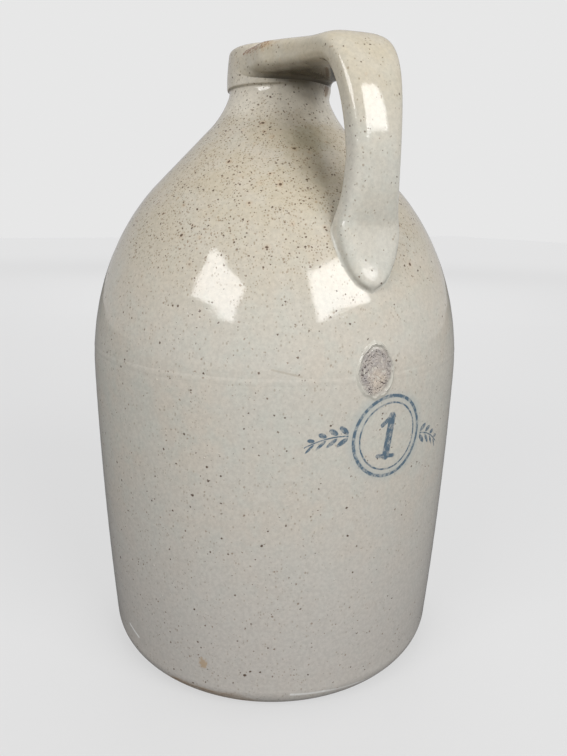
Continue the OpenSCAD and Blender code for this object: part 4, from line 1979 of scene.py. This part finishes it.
@dataclass(frozen=True)
class Studio:
    """A pale floor, a pale surround, two softboxes, a fill lamp behind and the photographer's camera.

    The camera's side is in degrees, its distance and height are in millimetres and its other angles in
    radians. Its focal length is a share of the picture's height. The floor is in metres.
    """

    camera_side: float = -28.28
    camera_distance: float = 307.8
    camera_height: float = 215.9
    camera_pitch: float = 0.26608
    camera_yaw: float = 0.01481
    camera_roll: float = 0.01875
    focal_share: float = 612 / 756
    sensor: float = 36.0
    floor_size: float = 9.0
    floor_colour: Colour = (0.20, 0.20, 0.20)
    floor_roughness: float = 0.6
    floor_glow: Pair = (0.55, 0.64)
    floor_glow_reach: Pair = (1.2, 3.0)
    surround: Colour = (0.80, 0.80, 0.80)
    surround_mirrored: float = 0.45
    ambient: Colour = (0.27, 0.27, 0.28)
    lamps: tuple[Softbox, ...] = field(default_factory=lambda: (
        Softbox("softbox_left", -20.0, 196.0, -35.3, 30.1, (-82.6, -20.7, 5.0), 0.81, 0.42, radiance=8.7),
        Softbox("softbox_right", 13.0, 196.0, 44.6, 32.4, (34.8, -1.9, 5.2), 0.73, 0.53, radiance=10.0),
        Softbox("fill_behind", 180.0, 150.0, 180.0, 32.0, (180.0, -32.0, 0.0), 1.6, 1.2, 1.6, 1.9, False),
    ))

    def build(self, form: JugForm) -> None:
        """Builds the studio.

        Args:
            form: The jug's sizes.
        """
        scene = bpy.context.scene
        scene.view_settings.view_transform = "Standard"
        self._floor()
        self._world()
        for lamp in self.lamps:
            lamp.build(form, self.camera_side)
        self._camera()

    def _floor(self) -> None:
        """Lays the floor, which shows pale to the camera and keeps the jug's shadow."""
        half = self.floor_size / 2
        corners = np.array([[-half, -half, 0], [half, -half, 0], [half, half, 0], [-half, half, 0]])
        g = Surface("studio_floor")
        sockets = g.shader.inputs
        darker = tuple(0.97 * c for c in self.floor_colour)
        g.feed(sockets["Base Color"], g.blend(g.noise(g.place, 3.0, 2.0, 0.5), self.floor_colour, darker))
        sockets["Roughness"].default_value = self.floor_roughness
        sockets["Emission Color"].default_value = (1.0, 1.0, 1.0, 1.0)
        seen = g.node("ShaderNodeLightPath").outputs["Is Camera Ray"]
        glow = g.ramp(g.vector("LENGTH", g.place, out=1), *self.floor_glow_reach, *self.floor_glow)
        g.feed(sockets["Emission Strength"], g.times(seen, glow))
        floor = object_from("studio_floor", corners, [(0, 1, 2, 3)], g.material)

    def _world(self) -> None:
        """Lights the room softly, and shows it pale to the camera and in the glaze."""
        world = bpy.data.worlds.new("studio")
        bpy.context.scene.world = world
        world.use_nodes = True
        g = Graph(world.node_tree)
        path = g.node("ShaderNodeLightPath")
        seen = g.larger(path.outputs["Is Camera Ray"], path.outputs["Is Transmission Ray"])
        mirrored = g.times(path.outputs["Is Glossy Ray"], self.surround_mirrored)
        seen = g.larger(seen, mirrored)
        background = world.node_tree.nodes["Background"]
        g.feed(background.inputs["Color"], g.blend(seen, self.ambient, self.surround))

    def _camera(self) -> None:
        """Sets the camera where the photographer stood."""
        yaw, pitch, roll = self.camera_yaw, self.camera_pitch, self.camera_roll
        ahead = Vector((math.sin(yaw) * math.cos(pitch), math.cos(yaw) * math.cos(pitch), -math.sin(pitch)))
        right = ahead.cross(Vector((0, 0, 1))).normalized()
        up = right.cross(ahead)
        side = right * math.cos(roll) + up * math.sin(roll)
        top = up * math.cos(roll) - right * math.sin(roll)
        axes = Matrix((side, top, -ahead)).transposed().to_4x4()
        axes.translation = Vector((0, -self.camera_distance, self.camera_height)) * MM
        data = bpy.data.cameras.new("camera")
        data.sensor_fit = "VERTICAL"
        data.sensor_height = data.sensor_width = self.sensor
        data.lens = self.focal_share * self.sensor
        data.clip_start = 0.01
        made = bpy.data.objects.new("camera", data)
        bpy.context.scene.collection.objects.link(made)
        made.matrix_world = Matrix.Rotation(math.radians(90 + self.camera_side), 4, "Z") @ axes
        bpy.context.scene.camera = made


# The single marks on the glaze: chips, scratches, rust and burns, each where it lies on the jug, with painted
# shadow by the strap and a painted highlight along the heel.
# Painted highlight: the pale streaks along the heel's edge stand in for the sheen of light reflected there.
SHEEN_WHITE = (0.86, 0.86, 0.83)
SCRATCH = Streak((-29.0, 159.0), (-21.7, 156.4), 0.6, (0.36, 0.30, 0.22), 0.35)
HEEL_SHEEN_STREAKS = (
    Streak((-22.0, 10.4), (-12.0, 9.6), 1.0, SHEEN_WHITE, 0.7),
    Streak((-12.0, 9.6), (0.0, 8.0), 1.0, SHEEN_WHITE, 0.6),
    Streak((0.0, 8.0), (11.0, 6.2), 0.8, SHEEN_WHITE, 0.5),
)
CHIP = Streak((-81.6, 20.8), (-76.0, 18.4), 1.0, (0.92, 0.92, 0.89), 0.95)
# Painted shadow: a dark blot on the collar and neck under the strap's root stands in for the strap's shadow
# there.
UNDER_STRAP_SHADOW = Stain((27.0, -4.0, 271.0), (12.0, 18.0, 5.6), (0.16, 0.14, 0.10), 0.85, 0.75, 0.4, 200.0)
OLIVE_NECK = Stain((38.0, -6.5, 245.0), (13.0, 14.0, 14.0), (0.28, 0.255, 0.155), 0.42, 0.9, 1.0, 200.0)
# Partly painted shadow: a browner blot on the shoulder beside the strap, for its browner glaze and for the
# strap's shadow there.
TAN_AND_SHADOW_BESIDE_STRAP = Stain((51.0, -8.5, 231.0), (14.0, 10.0, 20.0), (0.27, 0.235, 0.165), 0.45, 0.9, 0.8, 260.0)
BURN = Stain((19.5, 13.8, 268.0), (3.0, 3.0, 3.6), (0.22, 0.12, 0.055), 0.75, 0.6, 1.6, 600.0)
ROOT_RUST = Stain((15.5, -21.0, 282.6), (11.0, 4.5, 2.8), (0.20, 0.085, 0.035), 0.9, 0.4, 4.6, 1000.0)
ROOT_RUST_HALO = Stain((20.0, -20.0, 281.5), (17.0, 5.0, 4.2), (0.43, 0.29, 0.165), 0.5, 0.9, 2.4, 420.0)
# Painted shade: a dark blot on the strap's underside and root stands in for the shadow in the hollow under
# it.
STRAP_UNDERSIDE_SHADE = Stain((28.0, 0.0, 268.0), (44.0, 44.0, 6.9), (0.12, 0.102, 0.072), 0.92, 0.5, 0.3, 200.0)


def body_finish(form: JugForm) -> Stoneware:
    """Chooses the marks that the lower body's glaze carries.

    Args:
        form: The jug's sizes.

    Returns:
        The finish.
    """
    spot = tuple(c / MM for c in form.on_wall(-48.6, 23.2))
    rust_spot = Stain(spot, (2.7, 2.7, 3.6), (0.44, 0.31, 0.18), 0.75, 0.6, 1.6, 650.0)
    return Stoneware(stains=(rust_spot,), streaks=(CHIP, SCRATCH, *HEEL_SHEEN_STREAKS), mark=CapacityMark())


def shoulder_finish() -> Stoneware:
    """Returns the shoulder's finish: painted shadow under and beside the strap, browner and burnt beside it.
    """
    return Stoneware(stains=(UNDER_STRAP_SHADOW, OLIVE_NECK, TAN_AND_SHADOW_BESIDE_STRAP, BURN), streaks=(SCRATCH,))


def handle_finish() -> Stoneware:
    """Chooses the strap's finish: paler, partly as painted light, less speckled, tan only over the bend, with
    rust at its root and painted shade under it.

    Returns:
        The finish.
    """
    return Stoneware(
        # Partly painted light: the strap's cream is paler than the body's, to brighten the strap as more lamp
        # light would.
        cream=(0.610, 0.588, 0.520), warm=(0.60, 0.560, 0.470), tan=(0.54, 0.465, 0.330), pooled_strength=0.0,
        tan_span=(232.0, 280.0), tan_strength=0.8, fine_chance=(0.15, 0.6), medium_chance=(0.10, 0.42),
        large_chance=(0.2, 0.4), stains=(ROOT_RUST, ROOT_RUST_HALO, STRAP_UNDERSIDE_SHADE))


def main() -> None:
    """Builds the jug piece by piece, then the studio round it."""
    logging.basicConfig(level=logging.INFO, format="%(name)s: %(message)s")
    form = JugForm.from_frame()
    effects = GlazeEffects()
    glaze = body_finish(form).build("body_glaze", effects, form)
    shoulder_glaze = shoulder_finish().build("shoulder_glaze", effects, form)
    handle_glaze = handle_finish().build("handle_glaze", effects, form)
    TurnedBody(form).build(TurnedTree(), glaze, shoulder_glaze)
    StrapHandle(form).build(handle_glaze)
    scar = KilnScar(form)
    scar.build(ScarredClay().build("scarred_glaze", effects, scar))
    KilnPips().build(bpy.data.objects["lower_body_glazed"], glaze)
    Studio().build(form)


if __name__ == "__main__":
    main()
